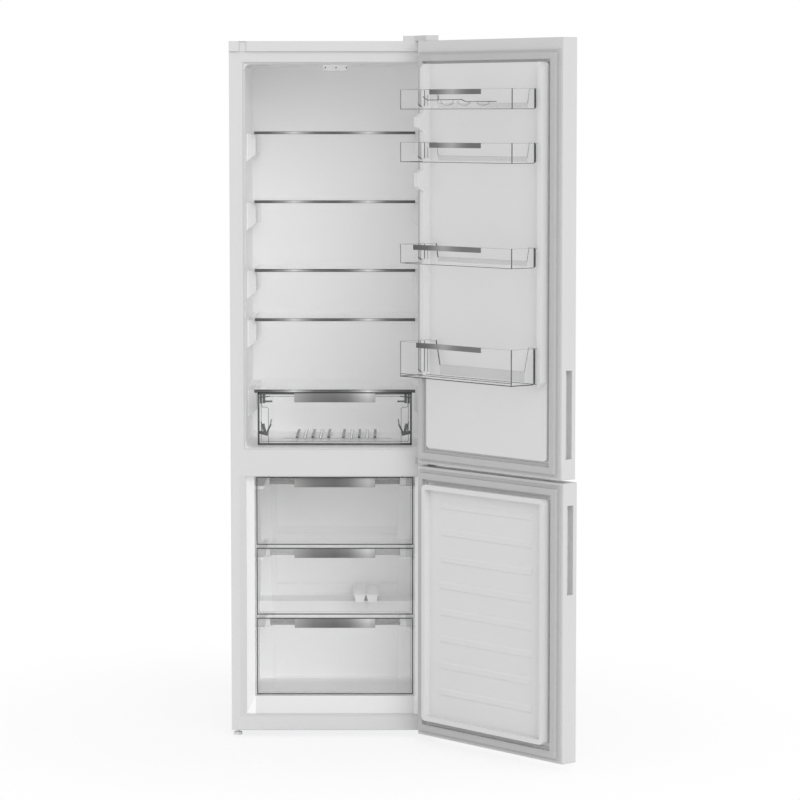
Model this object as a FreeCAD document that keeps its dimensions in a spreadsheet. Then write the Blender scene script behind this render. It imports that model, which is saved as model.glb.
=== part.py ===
import FreeCAD, Part
import math
import os
import Sketcher
from FreeCAD import Placement, Rotation, Vector

# A free-standing refrigerator with its freezer below, standing open: both doors swung out, all
# drawers in. +Z is up, the doors are on the -Y side, and the origin is on the floor in the middle
# of the cabinet's footprint. While a piece is drawn, y is counted back from the cabinet's front
# plane and the doors are shut; stand() and hang() then put it in its place.

document = FreeCAD.newDocument("Refrigerator")
sheet = document.addObject("Spreadsheet::Sheet", "sizes")

drivingSizes = {
    # cabinet
    "cabinetWidth": 600, "cabinetDepth": 597, "cabinetBottom": 20, "sheetSteel": 1,
    "flangeWidth": 25, "linerWall": 1.5, "runGap": 0.3, "shaftGap": 0.05, "linerBand": 13,
    "topBand": 51, "railHeight": 66.5, "railMargin": 4, "plinthTop": 59, "railDepth": 12,
    # fresh-food compartment
    "fridgeWall": 44, "floorRise": 12.5, "ceilingRise": 193, "fridgeDepth": 500,
    "fridgeCorner": 18, "bezelSpread": 6, "bezelDepth": 8,
    "ledgeLap": 3, "ledgeHeight": 60, "ledgeSlope": 21, "ledgeFront": 142, "ledgeBackGap": 14,
    "lampFront": 180, "lampLength": 120, "lampHalf": 36, "lampHeight": 15,
    # freezer compartment
    "mouthRise": 7, "mouthHeadroom": 2, "mouthStraight": 18, "mouthDepth": 34,
    "freezerWall": 67, "funnelRise": 49, "freezerDepth": 525, "stepGap": 4.5, "stepDepth": 336,
    "runnerLap": 15, "runnerHeight": 8,
    # machine niche at the back of the base
    "nicheTop": 289, "nicheClearance": 22,
    # shelves
    "shelfSideGap": 22, "glassOverhang": 6, "shelfFront": 122, "shelfBackGap": 16,
    "glassThickness": 4,
    "trimHeight": 8, "trimDepth": 17, "trimLip": 2, "trimWeb": 5,
    "shelfOneRise": 200, "shelfTwoRise": 200, "shelfThreeRise": 144, "shelfFourRise": 204,
    "crisperHeadroom": 9, "coverFront": 60,
    # crisper drawer
    "crisperSideGap": 7, "crisperLift": 2.5, "crisperHeight": 151.5, "crisperFront": 60,
    "crisperBackGap": 30, "crisperStepDrop": 42, "crisperRimDrop": 15, "crisperStepReach": 19,
    "crisperRimInset": 12, "crisperWall": 2.5, "crisperCorner": 8,
    "crisperRibPitch": 23.3, "crisperRibWidth": 8, "crisperRibHeight": 5, "crisperRibFront": 232,
    "crisperRibGap": 12, "crisperRibFirst": 22, "crisperFrame": 10, "frameDepth": 2,
    "crisperGripInset": 34,
    # freezer drawers
    "drawerSideGap": 5.5, "drawerFront": 36, "drawerBackGap": 10, "shortDrawerGap": 11,
    "drawerBodyInset": 39, "drawerWall": 2.5, "drawerCorner": 5, "drawerRimDrop": 26,
    "drawerFrame": 7,
    "drawerRimInset": 5.5, "gripInset": 37.5, "gripReach": 20, "gripDrop": 24,
    "drawerLift": 4, "stepLift": 5, "drawerSpacing": 9, "drawerHeadroom": 3,
    "topDrawerHeight": 199, "middleDrawerHeight": 196, "bottomDrawerHeight": 225.5,
    # doors
    "doorGap": 16, "doorThickness": 52, "doorChamfer": 1.5, "pivotInset": 17, "pivotSetback": 11,
    "doorLift": 4, "doorSpacing": 9, "lowerDoorLap": 34.5,
    "upperDoorAngle": 130.5, "lowerDoorAngle": 131.2, "capThickness": 3, "capFlange": 32,
    "gasketInset": 10, "gasketWidth": 34, "gasketGap": 1, "gasketBase": 5, "gasketBulb": 18,
    "gasketEnd": 8, "skinReturn": 12, "plateauHeight": 11, "dikeHeight": 35, "dikeWidth": 15,
    "dikeGap": 5, "plateauDrop": 2, "plateauRise": 13, "dikeLead": 9,
    "bulgeHeight": 57, "bulgeSlope": 12, "bulgeLowDrop": 84, "bulgeLowSpan": 62,
    "bulgeHighRise": 31, "bulgeHighSpan": 51,
    "freezerPlateauGap": 8, "rimHeight": 30, "rimWidth": 14,
    "embossPitch": 76.5, "embossRise": 76, "embossHeight": 2.5, "embossWidth": 27,
    "embossInset": 47, "embossSlope": 7,
    "gripSlot": 22, "gripSlotInset": 15, "gripSlotDepth": 20,
    "upperGripRise": 56.5, "upperGripLength": 243, "lowerGripDrop": 62.5, "lowerGripLength": 247,
    # door baskets
    "basketEndGap": 3, "basketBack": 24, "basketFront": 127, "basketWall": 2.5,
    "basketCorner": 5, "basketHook": 9, "basketHookDepth": 16, "basketDipInset": 41,
    "studReach": 6, "studDepth": 8, "studDrop": 20,
    "basketHeight": 54, "basketThreeHeight": 53, "basketFourHeight": 98, "basketOneRise": 93,
    "basketTwoRise": 231, "basketThreeRise": 221, "basketFourRise": 212,
    # hinges
    "plateThickness": 3, "pinRadius": 4, "pinLength": 14, "bossRadius": 9, "midPlate": 4,
    "screwRadius": 2.5, "screwHead": 3.8, "screwHeadHeight": 3,
    # feet and rollers
    "footInset": 16, "footDepth": 42, "footRadius": 12.5, "footHeight": 8, "footStem": 5,
    "footStemTop": 48, "rollerRadius": 15, "rollerWidth": 22, "rollerSide": 30,
    "rollerInset": 37, "rollerPin": 3, "earThickness": 2,
    # cooling parts
    "compressorSide": 150, "compressorInset": 100, "compressorRadius": 80, "compressorFoot": 34,
    "compressorTop": 196, "mountSpread": 66, "mountRadius": 10, "coilRadius": 3,
    "coilPitch": 56, "coilRuns": 3, "coilSide": 30, "coilGap": 50, "coilInset": 127,
    "coilBottom": 60, "fanX": 0, "fanRise": 105, "fanRadius": 52, "fanHub": 15,
    "fanInset": 51, "fanBlades": 5, "coverInset": 70, "coverThickness": 3,
    "evaporatorHeight": 200, "evaporatorInset": 38, "finMargin": 15,
}


class Size:
    """A length that carries its value and the sheet expression that it follows."""

    def __init__(self, value, text):
        self.value = float(value)
        self.text = text

    def __float__(self):
        return self.value

    def joined(self, other, sign, value):
        return Size(value, f"({self.text} {sign} {sizeOf(other).text})")

    def __add__(self, other):
        return self.joined(other, "+", self.value + float(other))

    def __sub__(self, other):
        return self.joined(other, "-", self.value - float(other))

    def __mul__(self, other):
        return self.joined(other, "*", self.value * float(other))

    def __truediv__(self, other):
        return self.joined(other, "/", self.value / float(other))

    def __radd__(self, other):
        return sizeOf(other) + self

    def __rsub__(self, other):
        return sizeOf(other) - self

    def __rmul__(self, other):
        return sizeOf(other) * self

    def __neg__(self):
        return Size(-self.value, f"(0 - {self.text})")


def sizeOf(number):
    return number if isinstance(number, Size) else Size(number, repr(float(number)))


class Sizes:
    """Every cell of the sheet under its alias."""


for row, (alias, number) in enumerate(drivingSizes.items(), start=1):
    sheet.set(f"A{row}", alias)
    sheet.set(f"B{row}", str(number))
    sheet.setAlias(f"B{row}", alias)
document.recompute()
d = Sizes()
for alias in drivingSizes:
    setattr(d, alias, Size(sheet.get(alias), f"sizes.{alias}"))

pieces = []


# ---- drawing helpers ----

def bind(thing, path, size):
    thing.setExpression(path, sizeOf(size).text)


def block(xs, ys, zs):
    """A box between two places along each axis."""
    box = document.addObject("Part::Box", "block")
    for side, (low, high) in (("Length", xs), ("Width", ys), ("Height", zs)):
        bind(box, side, high - low if isinstance(high, Size) else sizeOf(high) - low)
    for axis, (low, _) in (("x", xs), ("y", ys), ("z", zs)):
        bind(box, f"Placement.Base.{axis}", low)
    return box


def rod(axis, centre, radius, low, high):
    """A cylinder along an axis, from low to high; centre holds its other two places."""
    cylinder = document.addObject("Part::Cylinder", "rod")
    bind(cylinder, "Radius", radius)
    bind(cylinder, "Height", sizeOf(high) - low)
    turns = {"x": Rotation(Vector(0, 1, 0), 90), "y": Rotation(Vector(1, 0, 0), -90), "z": Rotation()}
    cylinder.Placement = Placement(Vector(0, 0, 0), turns[axis])
    others = [name for name in "xyz" if name != axis]
    bind(cylinder, f"Placement.Base.{axis}", low)
    for name, place in zip(others, centre):
        bind(cylinder, f"Placement.Base.{name}", place)
    return cylinder


def taper(axis, low, high, lowFace, highFace):
    """A block whose two ends along y or z differ; a face is (left, right, front or bottom, back or top)."""
    wedge = document.addObject("Part::Wedge", "taper")
    ends = {"Ymin": low, "Ymax": high}
    if axis == "y":
        ends.update(Xmin=lowFace[0], Xmax=lowFace[1], Zmin=lowFace[2], Zmax=lowFace[3])
        ends.update(X2min=highFace[0], X2max=highFace[1], Z2min=highFace[2], Z2max=highFace[3])
    else:
        wedge.Placement = Placement(Vector(0, 0, 0), Rotation(Vector(1, 0, 0), 90))
        ends.update(Xmin=lowFace[0], Xmax=lowFace[1], Zmin=-sizeOf(lowFace[3]), Zmax=-sizeOf(lowFace[2]))
        ends.update(X2min=highFace[0], X2max=highFace[1])
        ends.update(Z2min=-sizeOf(highFace[3]), Z2max=-sizeOf(highFace[2]))
    for name, size in ends.items():
        setattr(wedge, name, float(size))
        bind(wedge, name, size)
    return wedge


def fuse(*shapes):
    if len(shapes) == 1:
        return shapes[0]
    union = document.addObject("Part::MultiFuse", "union")
    union.Shapes = list(shapes)
    union.Refine = True
    return union


def cut(base, *tools):
    difference = document.addObject("Part::Cut", "difference")
    difference.Base = base
    difference.Tool = fuse(*tools)
    difference.Refine = True
    return difference


def edgesAlong(shape, axes):
    """Names of the straight edges that run along one of the axes, within a few degrees."""
    found = []
    for number, edge in enumerate(shape.Edges, start=1):
        if edge.Curve.TypeId != "Part::GeomLine":
            continue
        run = edge.Vertexes[1].Point - edge.Vertexes[0].Point
        run.normalize()
        if any(abs(run.dot(axis)) > 0.97 for axis in axes):
            found.append(number)
    return found


def rounded(base, radius, *axes, kind="Part::Fillet"):
    """base with its straight edges along the axes rounded, or cut off at 45 degrees."""
    document.recompute()
    eased = document.addObject(kind, "eased")
    eased.Base = base
    numbers = edgesAlong(base.Shape, axes)
    eased.Edges = [(number, float(radius), float(radius)) for number in numbers]
    return eased


def chamfered(base, size, *axes):
    return rounded(base, size, *axes, kind="Part::Chamfer")


def sketchOn(body, role, outlines, offset=0, origin=(0, 0)):
    """A sketch on one of the body's own planes. An outline is a list of corners or (centre, radius)."""
    sketch = body.newObject("Sketcher::SketchObject", "outline")
    plane = next(item for item in body.Origin.OriginFeatures if item.Role == role)
    sketch.AttachmentSupport = [(plane, "")]
    sketch.MapMode = "FlatFace"
    sketch.AttachmentOffset = Placement(Vector(float(origin[0]), float(origin[1]), float(offset)), Rotation())
    bind(sketch, "AttachmentOffset.Base.x", origin[0])
    bind(sketch, "AttachmentOffset.Base.y", origin[1])
    bind(sketch, "AttachmentOffset.Base.z", offset)

    def pin(geometry, vertex, across, up):
        for kind, size in (("DistanceX", across), ("DistanceY", up)):
            number = sketch.addConstraint(
                Sketcher.Constraint(kind, -1, 1, geometry, vertex, float(size)))
            if isinstance(size, Size):
                bind(sketch, f"Constraints[{number}]", size)

    def point(corner):
        return Vector(float(corner[0]), float(corner[1]), 0)

    for outline in outlines:
        if len(outline) == 2:
            centre, radius = outline
            circle = Part.Circle(point(centre), Vector(0, 0, 1), float(radius))
            number = sketch.addGeometry(circle, False)
            pin(number, 3, *centre)
            size = sketch.addConstraint(Sketcher.Constraint("Radius", number, float(radius)))
            if isinstance(radius, Size):
                bind(sketch, f"Constraints[{size}]", radius)
            continue
        first = sketch.GeometryCount
        count = len(outline)
        for index in range(count):
            start, end = point(outline[index]), point(outline[(index + 1) % count])
            sketch.addGeometry(Part.LineSegment(start, end), False)
        for index in range(count):
            follower = first + (index + 1) % count
            sketch.addConstraint(Sketcher.Constraint("Coincident", first + index, 2, follower, 1))
            pin(first + index, 1, *outline[index])
    return sketch


def pad(body, role, outlines, low, high, origin=(0, 0)):
    """A pad between two places along the plane's own axis."""
    backward = role == "XZ_Plane"
    offset = -sizeOf(high) if backward else sizeOf(low)
    sketch = sketchOn(body, role, outlines, offset, origin)
    feature = body.newObject("PartDesign::Pad", "pad")
    feature.Profile = sketch
    bind(feature, "Length", sizeOf(high) - low)
    return feature


def prism(role, outlines, low, high):
    body = document.addObject("PartDesign::Body", "prism")
    pad(body, role, outlines, low, high)
    return body


X, Y, Z = Vector(1, 0, 0), Vector(0, 1, 0), Vector(0, 0, 1)
front = -d.cabinetDepth / 2

# places across, out from the middle
halfWidth = d.cabinetWidth / 2
innerHalf = halfWidth - d.sheetSteel
flangeHalf = halfWidth - d.flangeWidth
fridgeHalf = halfWidth - d.fridgeWall
shelfHalf = fridgeHalf - d.shelfSideGap
ledgeTip = shelfHalf - d.ledgeLap
crisperHalf = ledgeTip - d.crisperSideGap
crisperRimHalf = crisperHalf - d.crisperRimInset
crisperFootHalf = crisperRimHalf - d.crisperStepReach
freezerHalf = halfWidth - d.freezerWall
drawerHalf = freezerHalf - d.drawerSideGap
drawerRimHalf = drawerHalf - d.drawerRimInset
drawerBodyHalf = drawerRimHalf - d.drawerBodyInset
runnerTip = drawerRimHalf - d.runnerLap
dikeHalf = fridgeHalf - d.dikeGap
basketHalf = dikeHalf - d.dikeWidth - d.basketEndGap
pivotX = halfWidth - d.pivotInset
footX = halfWidth - d.footInset
rollerX = halfWidth - d.rollerSide
compressorX = halfWidth - d.compressorSide

# levels, up from the floor
floorTop = d.cabinetBottom + 2 * d.sheetSteel
mouthFloor = d.plinthTop + d.mouthRise
freezerFloor = mouthFloor + d.funnelRise
bottomDrawerBottom = freezerFloor + d.drawerLift
bottomDrawerTop = bottomDrawerBottom + d.bottomDrawerHeight
stepHeight = bottomDrawerTop + d.stepGap
middleDrawerBottom = stepHeight + d.stepLift
middleDrawerTop = middleDrawerBottom + d.middleDrawerHeight
topDrawerBottom = middleDrawerTop + d.drawerSpacing
topDrawerTop = topDrawerBottom + d.topDrawerHeight
freezerCeiling = topDrawerTop + d.drawerHeadroom
mouthCeiling = freezerCeiling + d.mouthHeadroom
railBottom = mouthCeiling + d.railMargin
railTop = railBottom + d.railHeight
fridgeFloor = railTop + d.floorRise
crisperBottom = fridgeFloor + d.crisperLift
crisperTop = crisperBottom + d.crisperHeight
coverTop = crisperTop + d.crisperHeadroom
shelfFourTop = coverTop + d.shelfFourRise
shelfThreeTop = shelfFourTop + d.shelfThreeRise
shelfTwoTop = shelfThreeTop + d.shelfTwoRise
shelfOneTop = shelfTwoTop + d.shelfOneRise
fridgeCeiling = shelfOneTop + d.ceilingRise
linerTop = fridgeCeiling + d.linerBand
cabinetTop = linerTop + d.topBand
lowerDoorBottom = d.cabinetBottom + d.doorLift
lowerDoorTop = railBottom + d.lowerDoorLap
upperDoorBottom = lowerDoorTop + d.doorSpacing
upperDoorTop = cabinetTop
plateauBottom = fridgeFloor + d.plateauRise
plateauTop = fridgeCeiling - d.plateauDrop
freezerPlateauBottom = mouthFloor + d.freezerPlateauGap
freezerPlateauTop = mouthCeiling - d.freezerPlateauGap
basketFourBottom = plateauBottom + d.basketFourRise
basketFourTop = basketFourBottom + d.basketFourHeight
basketThreeBottom = basketFourTop + d.basketThreeRise
basketThreeTop = basketThreeBottom + d.basketThreeHeight
basketTwoBottom = basketThreeTop + d.basketTwoRise
basketTwoTop = basketTwoBottom + d.basketHeight
basketOneBottom = basketTwoTop + d.basketOneRise
basketOneTop = basketOneBottom + d.basketHeight

# places behind the cabinet's front plane
pivotDepth = d.doorGap + d.doorThickness - d.pivotSetback
gasketHeight = d.doorGap - d.gasketGap


def stand(name, shape):
    """A piece that stays with the cabinet, or slides in it."""
    if shape.TypeId in ("Part::Box", "Part::Cylinder", "Part::Wedge"):
        raise ValueError(f"{name} needs a feature of its own to be placed")
    shape.Label = name
    bind(shape, "Placement.Base.y", front)
    pieces.append(shape)
    return shape


def hang(name, shape, angle):
    """A piece of a door, drawn shut and swung open about the hinge line."""
    shape.Label = name
    x = pivotX
    y = -pivotDepth
    turn = math.radians(float(angle))
    cosine = Size(math.cos(turn), f"cos({angle.text} * 1deg)")
    sine = Size(math.sin(turn), f"sin({angle.text} * 1deg)")
    shape.Placement = Placement(Vector(0, 0, 0), Rotation(Vector(0, 0, 1), float(angle)))
    bind(shape, "Placement.Rotation.Angle", angle)
    bind(shape, "Placement.Base.x", x - x * cosine + y * sine)
    bind(shape, "Placement.Base.y", front + y - x * sine - y * cosine)
    pieces.append(shape)
    return shape


shelfTops = [shelfOneTop, shelfTwoTop, shelfThreeTop, shelfFourTop]
ledgeBack = d.fridgeDepth - d.ledgeBackGap
shelfBack = d.fridgeDepth - d.shelfBackGap
crisperBack = d.fridgeDepth - d.crisperBackGap
compressorDepth = d.cabinetDepth - d.compressorInset
nicheFront = compressorDepth - d.compressorRadius - d.nicheClearance
rollerDepth = d.cabinetDepth - d.rollerInset
coilDepth = d.cabinetDepth - d.coilInset
coverDepth = d.freezerDepth - d.coverInset
drawerBack = coverDepth - d.drawerBackGap
shortDrawerBack = d.stepDepth - d.shortDrawerGap
midLevel = (lowerDoorTop + upperDoorBottom) / 2
hingeScrews = [(pivotX - 63, 40), (pivotX - 15, 40)]
baseScrews = [(pivotX - 21, 16), (pivotX - 21, 56)]
midScrews = [(pivotX - 46, midLevel - 1.8), (pivotX - 46, midLevel + 7.2)]


def polygon(centre, radius, sides):
    """Corners of a regular outline about a place."""
    turns = [2 * math.pi * (number + 0.5) / sides for number in range(sides)]
    return [(centre[0] + radius * math.cos(turn), centre[1] + radius * math.sin(turn)) for turn in turns]


def screwHoles():
    """Shanks of the hinge screws, as tools: the top ones, the bottom ones and the middle ones."""
    thick, shank = d.plateThickness, d.screwRadius
    low = cabinetTop + 1
    top = [prism("XY_Plane", [polygon(place, shank, 8)], low, low + thick) for place in hingeScrews]
    low = d.cabinetBottom - thick
    bottom = [prism("XY_Plane", [polygon(place, shank, 8)], low, low + thick) for place in baseScrews]
    middle = [prism("XZ_Plane", [polygon(place, shank, 8)], -thick, 0) for place in midScrews]
    return fuse(*top), fuse(*bottom), fuse(*middle)


topHoles, bottomHoles, middleHoles = screwHoles()


# ---- the cabinet's shells ----

def outerShell():
    wrap = block((-halfWidth, halfWidth), (0, d.cabinetDepth - d.sheetSteel),
                 (d.cabinetBottom, cabinetTop))
    inside = block((-innerHalf, innerHalf), (d.sheetSteel, d.cabinetDepth),
                   (d.cabinetBottom - 1, cabinetTop - d.sheetSteel))
    opening = block((-flangeHalf, flangeHalf), (-1, d.sheetSteel + 1), (d.cabinetBottom - 1, linerTop))
    stand("outer_shell", cut(wrap, inside, opening))


def rearPanel():
    back = (d.cabinetDepth - d.sheetSteel, d.cabinetDepth)
    sheet = block((-halfWidth, halfWidth), back, (d.nicheTop, cabinetTop))
    roof = block((-innerHalf, innerHalf), (nicheFront - d.sheetSteel, d.cabinetDepth - d.sheetSteel),
                 (d.nicheTop, d.nicheTop + d.sheetSteel))
    wall = block((-innerHalf, innerHalf), (nicheFront - d.sheetSteel, nicheFront),
                 (floorTop, d.nicheTop + d.sheetSteel))
    stand("rear_panel", fuse(sheet, roof, wall))


def fridgeHollow(grow):
    """The fresh-food cavity, or its liner's outside where grow is the liner's wall."""
    half = fridgeHalf + grow
    bottom, top = fridgeFloor - grow, fridgeCeiling + grow
    cavity = rounded(block((-half, half), (-1, d.fridgeDepth + grow), (bottom, top)),
                     d.fridgeCorner + grow, Y)
    spread = d.bezelSpread
    bezel = taper("y", 0, d.bezelDepth + grow,
                  (-half - spread, half + spread, bottom - spread, top + spread),
                  (-half, half, bottom, top))
    return fuse(cavity, bezel)


def ledge(side, top):
    """A moulded shelf support: flat above, upright inside, sloped back to the wall below."""
    wall, tip = fridgeHalf, ledgeTip
    foot = top - d.ledgeHeight - d.ledgeSlope
    outline = [(side * (wall + 1), top), (side * tip, top), (side * tip, top - d.ledgeHeight),
               (side * wall, foot), (side * (wall + 1), foot)]
    return prism("XZ_Plane", [outline], d.ledgeFront, ledgeBack)


def fridgeLiner():
    flange = block((-flangeHalf, flangeHalf), (0, d.linerWall), (railTop, linerTop))
    underGlass = d.trimLip + d.glassThickness + d.runGap
    tops = [shelf - underGlass for shelf in [*shelfTops, coverTop]]
    shell = cut(fuse(flange, fridgeHollow(d.linerWall)), fridgeHollow(0),
                block((-halfWidth, halfWidth), (-2, 0), (0, cabinetTop)))
    ledges = [ledge(side, top) for top in tops for side in (-1, 1)]
    stand("fridge_liner", fuse(shell, *ledges))


def freezerHollow(grow):
    half = fridgeHalf + grow
    inner = freezerHalf + grow
    mouth = block((-half, half), (-1, d.mouthStraight + grow),
                  (mouthFloor - grow, mouthCeiling + grow))
    funnel = taper("y", d.mouthStraight + grow, d.mouthDepth + grow,
                   (-half, half, mouthFloor - grow, mouthCeiling + grow),
                   (-inner, inner, freezerFloor - grow, freezerCeiling + grow))
    low = block((-inner, inner), (d.mouthDepth + grow, d.stepDepth + grow),
                (freezerFloor - grow, freezerCeiling + grow))
    high = block((-inner, inner), (d.mouthDepth + grow, d.freezerDepth + grow),
                 (stepHeight - grow, freezerCeiling + grow))
    return fuse(mouth, funnel, low, high)


drawerTops = [topDrawerTop, middleDrawerTop, bottomDrawerTop]
drawerBottoms = [topDrawerBottom, middleDrawerBottom, bottomDrawerBottom]
drawerBacks = [drawerBack, drawerBack, shortDrawerBack]


def freezerLiner():
    flange = block((-flangeHalf, flangeHalf), (0, d.linerWall), (d.plinthTop, railBottom))
    shell = cut(fuse(flange, freezerHollow(d.linerWall)), freezerHollow(0),
                block((-halfWidth, halfWidth), (-2, 0), (0, cabinetTop)))
    runners = []
    for top, back in zip(drawerTops, drawerBacks):
        level = top - d.drawerRimDrop - d.drawerWall - d.runGap
        for side in (-1, 1):
            ends = sorted((side * freezerHalf, side * runnerTip), key=float)
            runners.append(block(ends, (d.mouthDepth + 12, back), (level - d.runnerHeight, level)))
    stand("freezer_liner", fuse(shell, *runners))


def cabinetFoam():
    bulk = block((-innerHalf, innerHalf), (d.linerWall, d.cabinetDepth - d.sheetSteel),
                 (floorTop, cabinetTop - d.sheetSteel))
    niche = block((-innerHalf - 1, innerHalf + 1), (nicheFront - d.sheetSteel, d.cabinetDepth),
                  (0, d.nicheTop + d.sheetSteel))
    rail = block((-flangeHalf, flangeHalf), (0, d.railDepth), (railBottom, railTop))
    plinth = block((-flangeHalf, flangeHalf), (0, d.railDepth), (0, d.plinthTop))
    well = d.footStem + 3
    wells = [block((side * footX - well, side * footX + well),
                   (d.footDepth - well, d.footDepth + well), (0, d.footStemTop + 3)) for side in (-1, 1)]
    stand("cabinet_foam", cut(bulk, fridgeHollow(d.linerWall), freezerHollow(d.linerWall), niche, rail,
                              plinth, *wells))


def channel(bottom, top):
    """A pressed front rail: a web with a return at each edge."""
    wall, deep = d.linerWall, d.railDepth
    outline = [(0, bottom), (deep, bottom), (deep, bottom + wall), (wall, bottom + wall),
               (wall, top - wall), (deep, top - wall), (deep, top), (0, top)]
    return prism("YZ_Plane", [outline], -flangeHalf, flangeHalf)


def rails():
    stand("mid_rail", channel(railBottom, railTop))
    stand("base_plinth", channel(floorTop, d.plinthTop))


def topFascia():
    """The plastic band over the front edge, with a stepped end piece on the left."""
    deep, shallow = -8, -3
    outline = [(-halfWidth, 0), (-halfWidth, deep), (-halfWidth + 28, deep), (-halfWidth + 32, shallow),
               (-halfWidth + 46, shallow), (-halfWidth + 52, deep), (halfWidth, deep), (halfWidth, 0)]
    band = prism("XY_Plane", [outline], cabinetTop - 28, cabinetTop)
    top = block((-halfWidth, halfWidth), (deep, 40), (cabinetTop, cabinetTop + 1))
    stand("top_fascia", fuse(band, top))


def hingeBlanks():
    """The caps over the unused hinge places: one on the fascia, one on the mid rail."""
    plug = block((pivotX - 75, pivotX - 63), (-10, -8), (cabinetTop - 20, cabinetTop - 8))
    thin = d.gasketGap - d.runGap
    plate = block((-flangeHalf, -flangeHalf + 38), (-thin, 0), (railBottom + 9, railTop - 19.5))
    stand("hinge_blanks", fuse(plug, plate))


def baseTray():
    """The steel floor: it carries the feet, the rollers and the machine niche."""
    plate = block((-innerHalf, innerHalf), (d.sheetSteel, d.cabinetDepth - d.sheetSteel),
                  (d.cabinetBottom, floorTop))
    holes, ears, pins = [], [], []
    for side in (-1, 1):
        holes.append(rod("z", (side * footX, d.footDepth), d.footStem + d.shaftGap, 0, floorTop + 1))
        middle = side * rollerX
        reach = d.rollerWidth / 2 + 1
        holes.append(block((middle - reach, middle + reach),
                           (rollerDepth - d.rollerRadius - 4, rollerDepth + d.rollerRadius + 4),
                           (0, floorTop + 1)))
        for ear in (-1, 1):
            near = middle + ear * reach
            ends = sorted((near, near + ear * d.earThickness), key=float)
            ears.append(block(ends, (rollerDepth - 8, rollerDepth + 8),
                              (d.rollerRadius - 6, d.cabinetBottom)))
        pins.append(rod("x", (rollerDepth, d.rollerRadius), d.rollerPin, middle - reach, middle + reach))
    stand("base_tray", fuse(cut(plate, *holes), *ears, *pins))


# ---- hinges ----

def pinAt(low, high):
    return rod("z", (pivotX, -pivotDepth), d.pinRadius, low, high)


def hinges():
    x, y = pivotX, -pivotDepth
    top = cabinetTop + 1
    outline = [(x - 75, 10), (x - 43, 10), (x - 13, y - 13), (x + 13, y - 13), (x + 13, 62), (x - 75, 62)]
    plate = prism("XY_Plane", [outline], top, top + d.plateThickness)
    stand("top_hinge", fuse(cut(plate, topHoles), pinAt(top - d.pinLength, top)))

    low, high = midLevel - d.midPlate / 2, midLevel + d.midPlate / 2
    tab = block((x - 54, x + 15), (-d.plateThickness, 0), (midLevel - 10, midLevel + 11.5))
    arm = prism("XY_Plane", [[(x - 26, 0), (x - 13, y - 11), (x + 11, y - 11), (x + 14, 0)]], low, high)
    pin = pinAt(low - d.pinLength + 2, high + d.pinLength - 2)
    stand("mid_hinge", fuse(cut(tab, middleHoles), arm, pin))

    under = d.cabinetBottom - d.plateThickness
    outline = [(x - 30, y + 20), (x - 13, y - 11), (x + 11, y - 11), (x + 15, y + 20), (x + 15, 68),
               (x - 30, 68)]
    foot = rod("z", (footX, d.footDepth), d.footStem + 1, 0, d.cabinetBottom + 1)
    plate = prism("XY_Plane", [outline], under, d.cabinetBottom)
    stand("bottom_hinge", fuse(cut(plate, bottomHoles, foot),
                               pinAt(d.cabinetBottom, lowerDoorBottom + d.pinLength - 4)))


def hingeCover():
    """The plastic hood over the top hinge, with a rounded nose over the pin."""
    x, y = pivotX, -pivotDepth
    low, high = cabinetTop + 1, cabinetTop + 16
    left, back = x - 84, 72
    outside = prism("XY_Plane", [[(left, -6), (left + 33, -6), (x - 20, y - 16), (x + 16, y - 16),
                                  (x + 16, back), (left, back)]], low, high)
    inside = prism("XY_Plane", [[(left + 2, -4), (left + 35, -4), (x - 18, y - 14), (x + 14, y - 14),
                                 (x + 14, back - 2), (left + 2, back - 2)]], low - 1, high - 2)
    stand("top_hinge_cover", cut(rounded(outside, 5, Z), inside))


def hexagon(role, place, low, high):
    return prism(role, [polygon(place, d.screwHead, 6)], low, high)


def screws():
    plateTop = cabinetTop + 1 + d.plateThickness
    under = d.cabinetBottom - d.plateThickness
    tall = d.screwHeadHeight
    heads = [hexagon("XY_Plane", place, plateTop, plateTop + tall) for place in hingeScrews]
    heads += [hexagon("XY_Plane", place, under - tall, under) for place in baseScrews]
    near = -d.plateThickness - tall
    heads += [hexagon("XZ_Plane", place, near, near + tall) for place in midScrews]
    stand("hinge_screws", fuse(topHoles, bottomHoles, middleHoles, *heads))


# ---- feet and rollers ----

def feet():
    for name, side in (("foot_left", -1), ("foot_right", 1)):
        x = side * footX
        knob = prism("XY_Plane", [polygon((x, d.footDepth), d.footRadius, 12)], 0, d.footHeight)
        stem = rod("z", (x, d.footDepth), d.footStem, d.footHeight, d.footStemTop)
        stand(name, fuse(knob, stem))


def rollers():
    for name, side in (("roller_left", -1), ("roller_right", 1)):
        low, high = side * rollerX - d.rollerWidth / 2, side * rollerX + d.rollerWidth / 2
        centre = (rollerDepth, d.rollerRadius)
        sides = 20
        reach = d.rollerRadius / math.cos(math.pi / sides)
        wheel = prism("YZ_Plane", [polygon(centre, reach, sides)], low, high)
        stand(name, cut(wheel, rod("x", centre, d.rollerPin + d.shaftGap, low - 1, high + 1)))


# ---- inside the fresh-food compartment ----

def lamp():
    low = fridgeCeiling - d.lampHeight
    half, near, far = d.lampHalf, d.lampFront, d.lampFront + d.lampLength
    body = taper("z", low, fridgeCeiling, (-half + 2, half - 2, near + 4, far - 4), (-half, half, near, far))
    across, along, up = (-half + 9, half - 9), (near + 20, far - 20), (low - 1, low + 3)
    clips = [block((place - 1.5, place + 1.5), (near - 10, near + 6), (low + 3, low + 11))
             for place in (-half + 5, sizeOf(0), half - 5)]
    stand("lamp_housing", cut(body, block(across, along, up), *clips))
    stand("lamp_lens", rounded(block(across, along, up), 1.5, Z))


def shelfGlass(name, top, frontFace, half):
    surface = top - d.trimLip
    pane = block((-half, half), (frontFace + d.trimWeb, shelfBack),
                 (surface - d.glassThickness, surface))
    stand(name, chamfered(pane, 3, Z))


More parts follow.
